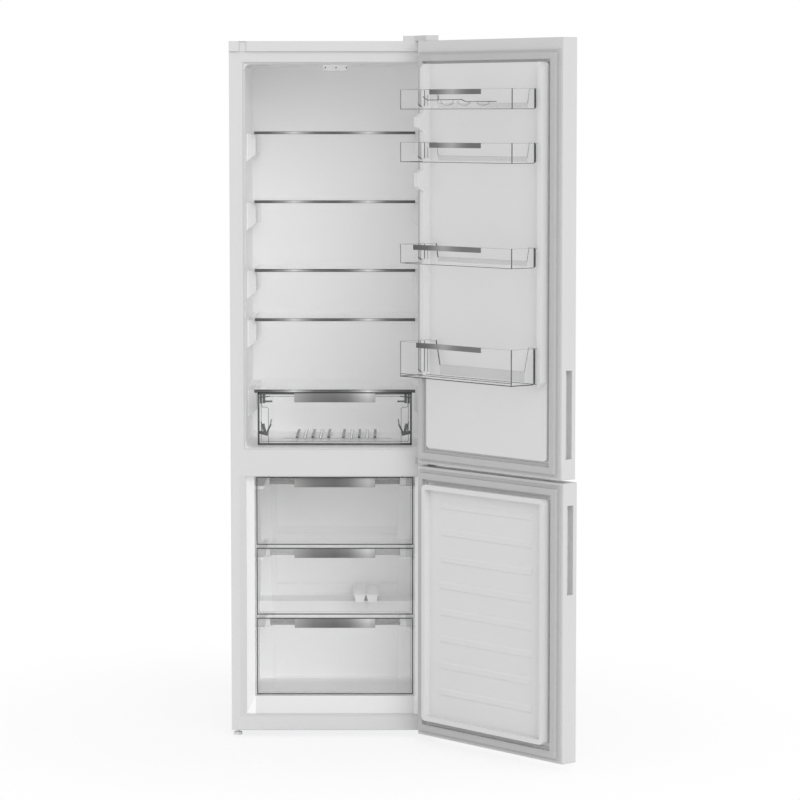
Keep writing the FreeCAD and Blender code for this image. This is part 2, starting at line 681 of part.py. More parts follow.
def shelfTrim(name, top, frontFace, half):
    """The profile slid over the glass's front edge."""
    deep = frontFace + d.trimDepth
    slot = frontFace + d.trimWeb
    glassTop = top - d.trimLip
    glassLow = glassTop - d.glassThickness
    outline = [(frontFace + 2, top), (deep, top), (deep, glassTop), (slot, glassTop), (slot, glassLow),
               (deep, glassLow), (deep, top - d.trimHeight), (frontFace + 2, top - d.trimHeight),
               (frontFace, top - d.trimHeight + 2), (frontFace, top - 2)]
    stand(name, prism("YZ_Plane", [outline], -half, half))


def shelves():
    glassHalf = shelfHalf + d.glassOverhang
    for number, top in enumerate(shelfTops, start=1):
        shelfGlass(f"shelf_glass_{number}", top, d.shelfFront, glassHalf)
        shelfTrim(f"shelf_trim_{number}", top, d.shelfFront, shelfHalf)
    shelfGlass("crisper_glass", coverTop, d.coverFront, glassHalf)
    shelfTrim("crisper_trim", coverTop, d.coverFront, shelfHalf)


def crisperDrawer():
    """A clear drawer: its sides step in low down, and its floor has two groups of ribs."""
    wall = d.crisperWall
    wide, slim = crisperRimHalf, crisperFootHalf
    step, rimTop = crisperTop - d.crisperStepDrop, crisperTop - d.crisperRimDrop
    face = d.crisperFront + 3
    low = fridgeFloor + d.runGap
    panel = framedFront(crisperHalf, d.crisperFront, face, (crisperBottom, crisperTop),
                        d.crisperCorner, d.crisperFrame)
    tub = fuse(block((-slim, slim), (face, crisperBack), (low, step)),
               block((-wide, wide), (face, crisperBack), (step, rimTop)))
    inner = (face, crisperBack - wall)
    hollow = fuse(block((-slim + wall, slim - wall), inner, (low + wall, crisperTop)),
                  block((-wide + wall, wide - wall), inner, (step + wall, crisperTop)))
    fins = [fin(side, face, low) for side in (-1, 1)]
    ribs = []
    for side in (-1, 1):
        for number in range(5):
            x = side * (d.crisperRibFirst + number * d.crisperRibPitch)
            ribs.append(block((x - d.crisperRibWidth / 2, x + d.crisperRibWidth / 2),
                              (d.crisperRibFront, crisperBack - d.crisperRibGap),
                              (low + wall, low + wall + d.crisperRibHeight)))
    grip = gripChannel(crisperTop, face, crisperHalf - d.crisperGripInset)
    stand("crisper_drawer", fuse(cut(tub, hollow), panel, grip, *fins, *ribs))


def framedFront(half, near, face, span, corner, frame):
    """A clear front panel with a raised frame round its back."""
    low, high = span
    plate = rounded(block((-half, half), (near, face + d.frameDepth), (low, high)), corner, Y)
    window = block((-half + frame, half - frame), (face, face + d.frameDepth + 1),
                   (low + frame, high - frame))
    return cut(plate, window)


def fin(side, face, low):
    """The two-pronged stop moulded between the crisper's side and its front."""
    slim, reach = crisperFootHalf, d.crisperStepReach
    outline = [(0, 20), (reach + 1, 30), (reach + 1, 44), (reach - 2, 44), (reach - 5, 60), (reach - 8, 42),
               (6, 40), (2, 58), (0, 58)]
    corners = [(side * (slim + x), low + z) for x, z in outline]
    return prism("XZ_Plane", [corners], face, face + 6)


def gripChannel(top, face, half):
    """The finger channel behind a drawer's front: a top lip that turns down."""
    wall = d.drawerWall
    return prism("YZ_Plane", [[(face - 1, top - wall), (face - 1, top), (face + d.gripReach, top),
                               (face + d.gripReach, top - d.gripDrop),
                               (face + d.gripReach - wall, top - d.gripDrop),
                               (face + d.gripReach - wall, top - wall)]], -half, half)


# ---- inside the freezer compartment ----

def freezerDrawer(name, bottom, top, back):
    wall = d.drawerWall
    slim, rimHalf = drawerBodyHalf, drawerRimHalf
    face = d.drawerFront + wall + 0.5
    low = bottom + 4
    rim = top - d.drawerRimDrop
    panel = framedFront(drawerHalf, d.drawerFront, face, (bottom, top), 5, d.drawerFrame)
    tub = rounded(taper("z", low, rim, (-slim, slim, face - 1, back - 12),
                        (-slim - 3, slim + 3, face - 1, back)), d.drawerCorner, Z)
    hollow = taper("z", low + wall, rim + 1, (-slim + wall, slim - wall, face, back - 12 - wall),
                   (-slim - 3 + wall, slim + 3 - wall, face, back - wall))
    flange = block((-rimHalf, rimHalf), (face + 8, back), (rim - wall, rim))
    grip = gripChannel(top, face, drawerHalf - d.gripInset)
    stand(name, fuse(cut(fuse(tub, flange), hollow), panel, grip))


def freezerDrawers():
    names = ("freezer_drawer_top", "freezer_drawer_middle", "freezer_drawer_bottom")
    for name, bottom, top, back in zip(names, drawerBottoms, drawerTops, drawerBacks):
        freezerDrawer(name, bottom, top, back)


def iceTray():
    """A tray of two rows of cups, lying in the middle drawer."""
    floor = middleDrawerBottom + 4 + d.drawerWall
    left, right, far = 48, 128, drawerBack - 19
    near = far - 198
    rim = block((left, right), (near, far), (floor + 22, floor + 24))
    cups, hollows = [], []
    across, pitch = 34, 32
    for side in (0, 1):
        for number in range(6):
            x = left + 5 + side * 37
            y = near + 4 + number * pitch
            cups.append(taper("z", floor, floor + 23, (x + 5, x + across - 5, y + 4, y + pitch - 4),
                              (x, x + across - 1, y, y + pitch - 1)))
            hollows.append(taper("z", floor + 2, floor + 25,
                                 (x + 7, x + across - 7, y + 6, y + pitch - 6),
                                 (x + 2, x + across - 3, y + 2, y + pitch - 3)))
    stand("ice_tray", cut(fuse(rim, *cups), *hollows))


def ductCover():
    """The moulded wall that hides the evaporator, with air outlets above each drawer."""
    plate = block((-freezerHalf, freezerHalf), (coverDepth, coverDepth + d.coverThickness),
                  (stepHeight, freezerCeiling))
    slots = []
    for level in (topDrawerTop - 24, middleDrawerTop - 16, stepHeight + 31):
        for number in range(-2, 3):
            middle = number * 76
            slots.append(block((middle - 30, middle + 30), (coverDepth - 1, coverDepth + 5),
                               (level, level + 9)))
    stand("air_duct_cover", cut(plate, *slots))


def evaporator():
    """Upright fins on a back plate, with the tube winding across their front edges."""
    back, low = d.freezerDepth, stepHeight + 31
    high = low + d.evaporatorHeight
    half, tube = freezerHalf - d.evaporatorInset, 4.5
    pitch = (half - d.finMargin) / 4
    near = back - 49
    plate = block((-half, half), (back - 2, back), (low, high))
    ends = [block((x, x + 1.5), (near, back - 1), (low, high)) for x in (-half, half - 1.5)]
    fins = [block((number * pitch, number * pitch + 1), (near + 8, back - 1), (low, high))
            for number in range(-4, 5)]
    levels = [low + 50, high - 50]
    runs = [rod("x", (near, z), tube, -half, half) for z in levels]
    bend = block((half - 2 * tube, half), (near - tube, near + tube), (levels[0] - tube, levels[1] + tube))
    stand("evaporator", fuse(plate, *ends, *fins, *runs, bend))


def fan():
    x, z = d.fanX, topDrawerBottom + d.fanRise
    depth = d.freezerDepth - d.fanInset
    shaft = rod("y", (x, z), 2, depth + 2, depth + 34)
    motor = fuse(prism("XZ_Plane", [polygon((x, z), 24, 16)], depth + 22, depth + 46),
                 block((x - 62, x + 62), (depth + 46, d.freezerDepth), (z - 12, z + 12)))
    stand("fan_motor", fuse(motor, shaft))
    body = document.addObject("PartDesign::Body", "fan")
    hub = pad(body, "XZ_Plane", [polygon((0, 0), d.fanHub, 16), ((0, 0), 2 + d.shaftGap)], depth,
              depth + 18, origin=(x, z))
    reach = d.fanRadius
    blade = pad(body, "XZ_Plane", [[(d.fanHub - 2, -4), (reach * 0.7, -14), (reach, -8), (reach, 14),
                                    (reach * 0.7, 18), (d.fanHub - 2, 6)]], depth + 6, depth + 8,
                origin=(x, z))
    document.recompute()
    pattern = body.newObject("PartDesign::PolarPattern", "blades")
    pattern.Originals = [blade]
    pattern.Axis = (hub.Profile[0], ["N_Axis"])
    pattern.Angle = 360
    pattern.Occurrences = int(float(d.fanBlades))
    body.Tip = pattern
    stand("fan_rotor", body)


# ---- machine niche ----

def compressor():
    x, y, low = compressorX, compressorDepth, d.compressorFoot
    radius, top = d.compressorRadius, d.compressorTop
    pot = fuse(prism("XY_Plane", [polygon((x, y), radius, 32)], low + 3, top - 40),
               prism("XY_Plane", [polygon((x, y), radius - 8, 32)], top - 40, top))
    spread = d.mountSpread
    plate = block((x - spread - 14, x + spread + 14), (y - spread - 14, y + spread + 14), (low, low + 3))
    corners = [(x + a * spread, y + b * spread) for a in (-1, 1) for b in (-1, 1)]
    relay = block((x + radius - 30, x + radius + 26), (y - 30, y + 30), (low + 84, low + 124))
    stand("compressor", fuse(pot, plate, relay))
    mounts = []
    for place in corners:
        mounts.append(prism("XY_Plane", [polygon(place, d.mountRadius, 8)], floorTop, low))
    stand("compressor_mounts", fuse(*mounts))


def condenser():
    """Tubes run between two upright headers beside the compressor, with the drier on the top one."""
    left, right = -halfWidth + d.coilSide, compressorX - d.compressorRadius - d.coilGap
    y, pitch, radius = coilDepth, d.coilPitch, d.coilRadius
    count = int(float(d.coilRuns))
    top = d.coilBottom + (count - 1) * pitch
    tubes = [rod("x", (y, d.coilBottom + run * pitch), radius, left, right) for run in range(count - 1)]
    tubes.append(rod("x", (y, top), radius + 4, left, right))
    headers = [block((x, x + 3 * radius), (y - radius - 6, y + radius + 6), (floorTop, top + 12))
               for x in (left, right - 3 * radius)]
    stand("condenser_coil", fuse(*headers, *tubes))


def dripTray():
    top, wall, slope = d.compressorTop, 2, 8
    wide, deep = d.compressorRadius - 12, d.compressorRadius - 2

    def span(inset):
        x, y = compressorX, compressorDepth
        return x - wide + inset, x + wide - inset, y - deep + inset, y + deep - inset

    outside = taper("z", top, top + 34, span(slope), span(0))
    inside = taper("z", top + wall, top + 35, span(slope + wall), span(wall))
    stand("drip_tray", cut(outside, inside))


def mainsInlet():
    """The appliance inlet on the niche's left wall, its mouth to the back."""
    x, z = -innerHalf, d.nicheTop - 59
    body = block((x, x + 46), (d.cabinetDepth - 50, d.cabinetDepth - 8), (z, z + 32))
    socket = block((x + 8, x + 38), (d.cabinetDepth - 28, d.cabinetDepth), (z + 6, z + 26))
    blades = [block((x + place, x + place + 4), (d.cabinetDepth - 30, d.cabinetDepth - 12), (z + 15, z + 17))
              for place in (13, 21, 29)]
    stand("mains_inlet", fuse(cut(body, socket), *blades))


# ---- doors ----

rim = -d.doorGap
face = -d.doorGap - d.doorThickness


class Door:
    """The sizes in which the two doors differ."""

    def __init__(self, name, bottom, top, angle, grip):
        self.name, self.bottom, self.top, self.angle, self.grip = name, bottom, top, angle, grip


upper = Door("upper_door", upperDoorBottom, upperDoorTop, d.upperDoorAngle,
             (upperDoorBottom + d.upperGripRise, upperDoorBottom + d.upperGripRise + d.upperGripLength))
lower = Door("lower_door", lowerDoorBottom, lowerDoorTop, d.lowerDoorAngle,
             (lowerDoorTop - d.lowerGripDrop - d.lowerGripLength, lowerDoorTop - d.lowerGripDrop))


def gripHollow(door, grow):
    """The finger slot in the free edge of a door."""
    outer = rim - d.gripSlotInset
    return block((-halfWidth - 1, -halfWidth + d.gripSlotDepth + grow),
                 (outer - d.gripSlot - grow, outer + grow), (door.grip[0] - grow, door.grip[1] + grow))


def pinBosses(door, radius, length):
    """Square bosses in both caps, about the hinge line."""
    xs = (pivotX - radius, pivotX + radius)
    ys = (-pivotDepth - radius, -pivotDepth + radius)
    return fuse(block(xs, ys, (door.bottom + d.capThickness, door.bottom + length)),
                block(xs, ys, (door.top - length, door.top - d.capThickness)))


def doorSkin(door):
    """One folded sheet: the front, both edges and their narrow returns."""
    low, high = door.bottom + d.capThickness, door.top - d.capThickness
    wrap = block((-halfWidth, halfWidth), (face, rim), (low, high))
    inside = block((-innerHalf, innerHalf), (face + d.sheetSteel, rim - d.sheetSteel), (low - 1, high + 1))
    back = block((-halfWidth + d.skinReturn, halfWidth - d.skinReturn), (rim - 2, rim + 1),
                 (low - 1, high + 1))
    ends = [block((-innerHalf, innerHalf), (rim - 2, rim + 1), (low - 1, door.bottom + d.capFlange)),
            block((-innerHalf, innerHalf), (rim - 2, rim + 1), (door.top - d.capFlange, high + 1))]
    sheet = cut(chamfered(wrap, d.doorChamfer, Z), inside, back, gripHollow(door, d.linerWall), *ends)
    hang(f"{door.name}_skin", sheet, door.angle)


def doorTrims(door):
    """The two end caps with their pin bores, and the finger slot's insert."""
    low, high = door.bottom, door.top
    capWall = d.linerWall
    pieces = []
    for outer, inner, flangeEnd in ((low, low + d.capThickness, low + d.capFlange),
                                    (high, high - d.capThickness, high - d.capFlange)):
        thick, deep = sorted((outer, inner), key=float), sorted((inner, flangeEnd), key=float)
        plate = chamfered(block((-halfWidth, halfWidth), (face, rim), thick), d.doorChamfer, Z)
        pieces += [plate, block((-innerHalf, innerHalf), (rim - capWall, rim), deep)]
    bore = rod("z", (pivotX, -pivotDepth), d.pinRadius + d.shaftGap, low - 1, high + 1)
    slot = cut(gripHollow(door, d.linerWall), gripHollow(door, 0),
               block((-halfWidth - 2, -halfWidth), (face, rim), (low, high)))
    caps = cut(fuse(*pieces, pinBosses(door, d.bossRadius, d.pinLength + 4)), bore)
    hang(f"{door.name}_trims", fuse(caps, slot), door.angle)


def doorGasket(door):
    """The magnetic seal: a wide base and a narrower hollow bulb, running round the door."""
    def ring(inset, width, front, back):
        half = halfWidth - d.gasketInset - inset
        low, high = door.bottom + d.gasketEnd + inset, door.top - d.gasketEnd - inset
        if door is upper:
            high = door.top - d.capFlange - inset
        outside = block((-half, half), (rim + front, rim + back), (low, high))
        inside = block((-half + width, half - width), (rim + front - 1, rim + back + 1),
                       (low + width, high - width))
        return cut(outside, inside)

    side = (d.gasketWidth - d.gasketBulb) / 2
    hang(f"{door.name}_gasket", fuse(ring(0, d.gasketWidth, 0, d.gasketBase),
                                     ring(side, d.gasketBulb, d.gasketBase, gasketHeight)), door.angle)


def upperForm(shrink):
    """What the upper liner raises above the rim: plateau, two dikes and the hinge side's bulges."""
    outer, crest = dikeHalf - shrink, rim + d.dikeHeight - shrink
    inner = dikeHalf - d.dikeWidth + shrink
    low, high = plateauBottom + shrink, plateauTop - shrink
    start = rim - d.linerWall
    plateau = rounded(block((-outer, outer), (start, rim + d.plateauHeight - shrink), (low, high)), 12, Y)
    corner = d.fridgeCorner - d.dikeGap - shrink
    foot = basketFourBottom - d.dikeLead
    dikes = cut(chamfered(block((-outer, outer), (start, crest), (foot + shrink, high)), corner, Y),
                block((-inner, inner), (start - 1, crest + 1), (foot - 1, high + 1)))
    bulges = []
    tip = rim + d.bulgeHeight - shrink
    for bottom, span in ((basketTwoBottom - d.bulgeLowDrop, d.bulgeLowSpan),
                         (basketTwoTop + d.bulgeHighRise, d.bulgeHighSpan)):
        bottom, top = bottom + shrink, bottom + span - shrink
        outline = [(start, bottom), (crest, bottom), (tip, bottom + d.bulgeSlope),
                   (tip, top - d.bulgeSlope), (crest, top), (start, top)]
        bulges.append(prism("YZ_Plane", [outline], inner, outer))
    return fuse(plateau, dikes, *bulges)


def lowerForm(shrink):
    """The freezer door's raised panel with its high rim and cross ribs."""
    outer, crest = dikeHalf - shrink, rim + d.rimHeight - shrink
    inner = dikeHalf - d.rimWidth + shrink
    low, high = freezerPlateauBottom + shrink, freezerPlateauTop - shrink
    start = rim - d.linerWall
    width = d.rimWidth - 2 * shrink
    solid = rounded(block((-outer, outer), (start, crest), (low, high)), 14, Y)
    panel = rim + d.plateauHeight - shrink
    hollow = block((-inner, inner), (panel, crest + 1), (low + width, high - width))
    return cut(solid, hollow)


basketSpans = [(basketOneBottom, basketOneTop), (basketTwoBottom, basketTwoTop),
               (basketThreeBottom, basketThreeTop), (basketFourBottom, basketFourTop)]


def stud(side, low, high, grow):
    """A stud on a dike's inner face, or, grown by the gap round it, the notch in a basket's end."""
    wall = dikeHalf - d.dikeWidth
    ends = sorted((side * (wall + grow), side * (wall - d.studReach - grow)), key=float)
    near = rim + d.dikeHeight - d.studDepth - 2
    return block(ends, (near - grow, near + d.studDepth + grow), (low, high))


def doorLiner(door, form):
    """The vacuum-formed inner skin: a flat rim under the seal and the raised middle."""
    low, high = door.bottom + d.capFlange, door.top - d.capFlange
    start = rim - d.linerWall
    flange = block((-halfWidth + d.skinReturn, halfWidth - d.skinReturn), (start, rim), (low, high))
    shell = cut(fuse(flange, form(0)), form(d.linerWall))
    extras = []
    if door is upper:
        for _, top in basketSpans:
            extras += [stud(side, top - d.studDrop - 14, top - d.studDrop, 0) for side in (-1, 1)]
    else:
        inner = dikeHalf - d.rimWidth - d.embossInset
        panel = rim + d.plateauHeight
        slope = d.embossSlope
        for number in range(8):
            level = freezerPlateauBottom + d.embossRise + number * d.embossPitch
            top = level + d.embossWidth
            extras.append(taper("y", panel - 1, panel + d.embossHeight, (-inner, inner, level, top),
                                (-inner + 2, inner - 2, level + slope, top - slope)))
    hang(f"{door.name}_liner", fuse(shell, *extras), door.angle)


def doorFoam(door, form):
    low, high = door.bottom + d.capThickness, door.top - d.capThickness
    bulk = block((-innerHalf, innerHalf), (face + d.sheetSteel, rim - d.linerWall), (low, high))
    bosses = pinBosses(door, d.bossRadius, d.pinLength + 4)
    core = cut(fuse(bulk, form(d.linerWall)), gripHollow(door, d.linerWall), bosses)
    hang(f"{door.name}_foam", core, door.angle)


def basket(name, bottom, top):
    """A clear door basket: a back wall that dips, and a hook at each end that drops over a stud."""
    wall = d.basketWall
    half = basketHalf
    near, far = rim + d.basketBack, rim + d.basketFront
    outside = rounded(block((-half, half), (near, far), (bottom, top)), d.basketCorner, Z)
    inside = rounded(block((-half + wall, half - wall), (near + wall, far - wall), (bottom + wall, top + 1)),
                     d.basketCorner - wall, Z)
    hooks = [block(sorted((side * half, side * (half - d.basketHook)), key=float),
                   (near, near + d.basketHookDepth), (bottom, top)) for side in (-1, 1)]
    notches = [stud(side, bottom - 1, top - d.studDrop + d.runGap, d.runGap) for side in (-1, 1)]
    dip, slope = (31, 16) if name == "door_basket_4" else (16, 7)
    wide = half - d.basketDipInset
    dipped = prism("XZ_Plane", [[(-wide + slope, bottom + dip), (wide - slope, bottom + dip),
                                 (wide, top + 1), (-wide, top + 1)]], near - 1, near + wall + 1)
    hang(name, cut(fuse(cut(outside, inside), *hooks), dipped, *notches), upper.angle)


def eggTray():
    """A tray with two rows of egg cups, standing in the top basket."""
    floor = basketOneBottom + d.basketWall + 0.2
    near = rim + d.basketBack + 8
    left = -78
    plate = block((left, left + 226), (near, near + 88), (floor + 17, floor + 19))
    cups, hollows = [], []
    for row in (0, 1):
        for number in range(4):
            place = (left + 29 + number * 56, near + 22 + row * 44)
            cups.append(prism("XY_Plane", [polygon(place, 20, 8)], floor, floor + 18))
            hollows.append(prism("XY_Plane", [polygon(place, 18.5, 8)], floor + 2, floor + 20))
    hang("egg_tray", cut(fuse(plate, *cups), *hollows), upper.angle)


def doors():
    for door, form in ((upper, upperForm), (lower, lowerForm)):
        doorSkin(door)
        doorTrims(door)
        doorGasket(door)
        doorLiner(door, form)
        doorFoam(door, form)
    for number, (bottom, top) in enumerate(basketSpans, start=1):
        basket(f"door_basket_{number}", bottom, top)
    eggTray()


def export():
    document.recompute()
    for item in document.Objects:
        if "Invalid" in item.State or "Error" in item.State:
            raise RuntimeError(f"{item.Name} ({item.Label}) failed: {item.State}")
    os.makedirs("parts", exist_ok=True)
    for piece in pieces:
        if piece.Shape.isNull() or not piece.Shape.isValid() or not piece.Shape.Solids:
            raise RuntimeError(f"{piece.Label} is not a valid solid")
    for piece in pieces:
        piece.Shape.exportStep(f"parts/{piece.Label}.step")
    print(len(pieces), "pieces written")


outerShell()
rearPanel()
fridgeLiner()
freezerLiner()
cabinetFoam()
rails()
topFascia()
hingeBlanks()
baseTray()
hinges()
hingeCover()
screws()
feet()
rollers()
lamp()
shelves()
crisperDrawer()
freezerDrawers()
iceTray()
ductCover()
evaporator()
fan()
compressor()
condenser()
dripTray()
mainsInlet()
doors()
export()
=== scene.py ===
import math

import bpy
from mathutils import Matrix, Vector


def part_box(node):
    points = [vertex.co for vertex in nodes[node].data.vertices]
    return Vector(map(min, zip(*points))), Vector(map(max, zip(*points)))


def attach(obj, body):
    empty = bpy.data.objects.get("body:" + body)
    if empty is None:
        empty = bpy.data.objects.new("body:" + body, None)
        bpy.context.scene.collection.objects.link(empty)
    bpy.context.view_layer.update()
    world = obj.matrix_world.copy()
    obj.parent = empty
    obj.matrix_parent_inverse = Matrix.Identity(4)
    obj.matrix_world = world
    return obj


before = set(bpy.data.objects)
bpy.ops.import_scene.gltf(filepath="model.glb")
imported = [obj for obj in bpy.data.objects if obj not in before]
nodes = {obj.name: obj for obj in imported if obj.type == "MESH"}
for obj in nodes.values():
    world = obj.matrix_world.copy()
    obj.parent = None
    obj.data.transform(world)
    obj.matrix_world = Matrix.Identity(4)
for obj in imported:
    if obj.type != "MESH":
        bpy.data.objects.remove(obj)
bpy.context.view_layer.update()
print("frame loaded:", len(nodes), "nodes")

# pieces are drawn in millimetres behind the cabinet's front plane, with the doors shut;
# what hangs on the upper door is then turned about the door's pin, by its angle at rest
cabinet = {"depth": 597, "pivotX": 283, "pivotY": -57, "upperAngle": 130.5}


def mm(x, y, z):
    return Vector((x, y - cabinet["depth"] / 2, z)) / 1000


# a corner of a node's box in those millimetres
def cornerMm(corner):
    return corner[0] * 1000, corner[1] * 1000 + cabinet["depth"] / 2, corner[2] * 1000


# opens the upper door from shut
def swing(angle):
    pivot = mm(cabinet["pivotX"], cabinet["pivotY"], 0)
    turn = Matrix.Rotation(math.radians(angle), 4, "Z")
    return Matrix.Translation(pivot) @ turn @ Matrix.Translation(-pivot)


# a hex sRGB colour as linear values with alpha
def linear(code):
    values = [int(code[i:i + 2], 16) / 255 for i in (1, 3, 5)]
    return (*[v / 12.92 if v <= 0.04045 else ((v + 0.055) / 1.055) ** 2.4 for v in values], 1)


def addNode(tree, kind, settings=None, links=None):
    node = tree.nodes.new(kind)
    for name, value in (settings or {}).items():
        if isinstance(name, str) and hasattr(node, name):
            setattr(node, name, value)
        else:
            node.inputs[name].default_value = value
    for name, source in (links or {}).items():
        tree.links.new(source, node.inputs[name])
    return node


def newMaterial(name):
    material = bpy.data.materials.new(name)
    material.use_nodes = True
    material.node_tree.nodes.clear()
    return material, material.node_tree


# 1 where a ray is of one of the kinds named, or else 0
def rayIs(tree, kinds):
    path = addNode(tree, "ShaderNodeLightPath")
    found = path.outputs[kinds[0]]
    for kind in kinds[1:]:
        either = addNode(tree, "ShaderNodeMath", {"operation": "MAXIMUM"}, {0: found, 1: path.outputs[kind]})
        found = either.outputs[0]
    return found


# where a liner's painted light turns it from its grey flange to white, in mm behind the flange's face
paintedLinerLightFade = {"flange": (1.5, 20), "deep": (200, 330), "ledgeShare": 0.4}


# painted light and shade on a liner: its flange is painted grey as shade and its side walls white; ledges, floor and
# ceiling are painted whiter with depth to lift the shade inside
def paintedLinerLight(tree, place, colour, front):
    parts = addNode(tree, "ShaderNodeSeparateXYZ", {}, {"Vector": place})
    start, end = [mm(0, depth, 0).y for depth in paintedLinerLightFade["deep"]]
    deep = addNode(tree, "ShaderNodeMapRange", {"From Min": start, "From Max": end},
                   {"Value": parts.outputs["Y"]})
    start, end = [mm(0, depth, 0).y for depth in paintedLinerLightFade["flange"]]
    inner = addNode(tree, "ShaderNodeMapRange", {"From Min": start, "From Max": end},
                    {"Value": parts.outputs["Y"]})
    across = addNode(tree, "ShaderNodeMath", {"operation": "ABSOLUTE"}, {0: parts.outputs["X"]})
    start, end = [x / 1000 for x in front["wall"]]
    wall = addNode(tree, "ShaderNodeMapRange", {"From Min": start, "From Max": end},
                   {"Value": across.outputs[0]})
    beside = addNode(tree, "ShaderNodeMath", {"operation": "MULTIPLY"},
                     {0: inner.outputs["Result"], 1: wall.outputs["Result"]})
    ledge = addNode(tree, "ShaderNodeMath", {"operation": "MULTIPLY", 1: paintedLinerLightFade["ledgeShare"]},
                    {0: inner.outputs["Result"]})
    white = addNode(tree, "ShaderNodeMath", {"operation": "MAXIMUM"},
                    {0: deep.outputs["Result"], 1: beside.outputs[0]})
    white = addNode(tree, "ShaderNodeMath", {"operation": "MAXIMUM"}, {0: white.outputs[0], 1: ledge.outputs[0]})
    mixed = addNode(tree, "ShaderNodeMix", {"data_type": "RGBA", "A": linear(front["grey"])},
                    {"Factor": white.outputs[0], "B": colour})
    return mixed.outputs["Result"]


# an opaque finish: colour that drifts between two values, roughness that follows it, and a fine texture
def surfaced(name, low, high, spotMm, bumpMm, bumpHeightMm, shader, front=None):
    material, tree = newMaterial(name)
    place = addNode(tree, "ShaderNodeTexCoord").outputs["Object"]
    spots = addNode(tree, "ShaderNodeTexNoise", {"Scale": 1000 / spotMm, "Detail": 3}, {"Vector": place})
    drift = addNode(tree, "ShaderNodeMix", {"data_type": "RGBA", "A": linear(low), "B": linear(high)},
                    {"Factor": spots.outputs["Fac"]})
    colour = drift.outputs["Result"]
    # painted shade at a liner's front and painted light deeper in
    if front:
        colour = paintedLinerLight(tree, place, colour, front)
    shader = dict(shader)
    middle, spread = shader.pop("Roughness"), 0.05
    rough = addNode(tree, "ShaderNodeMapRange", {"To Min": middle - spread, "To Max": middle + spread},
                    {"Value": spots.outputs["Fac"]})
    grain = addNode(tree, "ShaderNodeTexNoise", {"Scale": 1000 / bumpMm, "Detail": 2}, {"Vector": place})
    bump = addNode(tree, "ShaderNodeBump", {"Strength": 0.5, "Distance": bumpHeightMm / 1000},
                   {"Height": grain.outputs["Fac"]})
    surface = addNode(tree, "ShaderNodeBsdfPrincipled", shader,
                      {"Base Color": colour, "Normal": bump.outputs["Normal"],
                       "Roughness": rough.outputs["Result"]})
    addNode(tree, "ShaderNodeOutputMaterial", {}, {"Surface": surface.outputs["BSDF"]})
    return material


# baked polyester enamel on steel: a soft gloss with a faint orange peel
bakedEnamel = surfaced("bakedEnamel", "#d3d3d3", "#d6d6d6", 180, 2.4, 0.02,
                       {"Roughness": 0.36, "IOR": 1.5, "Coat Weight": 0.1, "Coat Roughness": 0.15})
# thermoformed high-impact polystyrene: satin white, with painted shade that greys it at the front and painted light
# that whitens it deeper in
formedPolystyrene = surfaced("formedPolystyrene", "#f7f7f7", "#f9f9f9", 140, 1.6, 0.02,
                             {"Roughness": 0.42, "IOR": 1.59}, {"grey": "#d3d3d3", "wall": (251, 255)})
# the same sheet in the freezer, with the same painted shade and light, whose side walls stand nearer to each other
deepPolystyrene = surfaced("deepPolystyrene", "#f7f7f7", "#f9f9f9", 140, 1.6, 0.02,
                           {"Roughness": 0.42, "IOR": 1.59}, {"grey": "#cfcfcf", "wall": (228, 232)})
# the same sheet on the doors, drawn less deep and greyer all over
doorPolystyrene = surfaced("doorPolystyrene", "#dcdcdc", "#dfdfdf", 140, 1.6, 0.02,
                           {"Roughness": 0.42, "IOR": 1.59})
# injection-moulded ABS: satin with a fine spark texture
mouldedAbs = surfaced("mouldedAbs", "#efefef", "#f3f3f3", 60, 0.9, 0.03, {"Roughness": 0.45, "IOR": 1.54})
# the same in a greyer tone, on the doors' end caps and grips and over the top hinge
greyAbs = surfaced("greyAbs", "#cfcfcf", "#d3d3d3", 60, 0.9, 0.03, {"Roughness": 0.45, "IOR": 1.54})
# extruded soft PVC of the magnetic seal: matte and greyer than the liner
sealPvc = surfaced("sealPvc", "#bbbbbb", "#c1c1c1", 40, 0.7, 0.03, {"Roughness": 0.62, "IOR": 1.53})
# cut polyurethane foam, matte and open-celled, hidden behind the panels
urethaneFoam = surfaced("urethaneFoam", "#d9c99a", "#e6d9b0", 12, 1.2, 0.3, {"Roughness": 0.9, "IOR": 1.4})
# galvanised sheet: pale spangle and a dull metal shine
galvanisedSheet = surfaced("galvanisedSheet", "#a9adb0", "#c3c6c8", 9, 0.8, 0.02,
                           {"Metallic": 0.9, "Roughness": 0.42})
# black stove enamel of the compressor and the condenser: smooth, with a soft gloss
blackEnamel = surfaced("blackEnamel", "#151617", "#1d1e20", 30, 1.5, 0.03, {"Roughness": 0.4, "IOR": 1.5})
# glass-filled nylon: dark, faintly mottled and matte
filledNylon = surfaced("filledNylon", "#232426", "#2c2d2f", 15, 0.8, 0.04, {"Roughness": 0.6, "IOR": 1.53})
# moulded natural rubber of the compressor's mounts: black and dull
mountRubber = surfaced("mountRubber", "#161616", "#1f1f1f", 12, 0.7, 0.05, {"Roughness": 0.8, "IOR": 1.52})
# mill-finish aluminium of the evaporator: bright, with a faint bloom
millAluminium = surfaced("millAluminium", "#b9bcbf", "#c9cbce", 25, 0.5, 0.01,
                         {"Metallic": 1.0, "Roughness": 0.34})
# opal polycarbonate over the lamp: even and soft, with a faint painted glow, which it also gives the lamp housing and
# the crisper's pale rib caps
opalWithPaintedGlow = surfaced("opalWithPaintedGlow", "#f4f4f4", "#f8f8f8", 30, 0.8, 0.02,
                        {"Roughness": 0.4, "IOR": 1.58, "Emission Color": (1, 1, 1, 1), "Emission Strength": 0.05})
# edges of the clear mouldings, where light is piped away and the plastic looks dark
darkEdge = surfaced("darkEdge", "#3e4041", "#4a4c4d", 30, 0.6, 0.01, {"Roughness": 0.25, "IOR": 1.57})
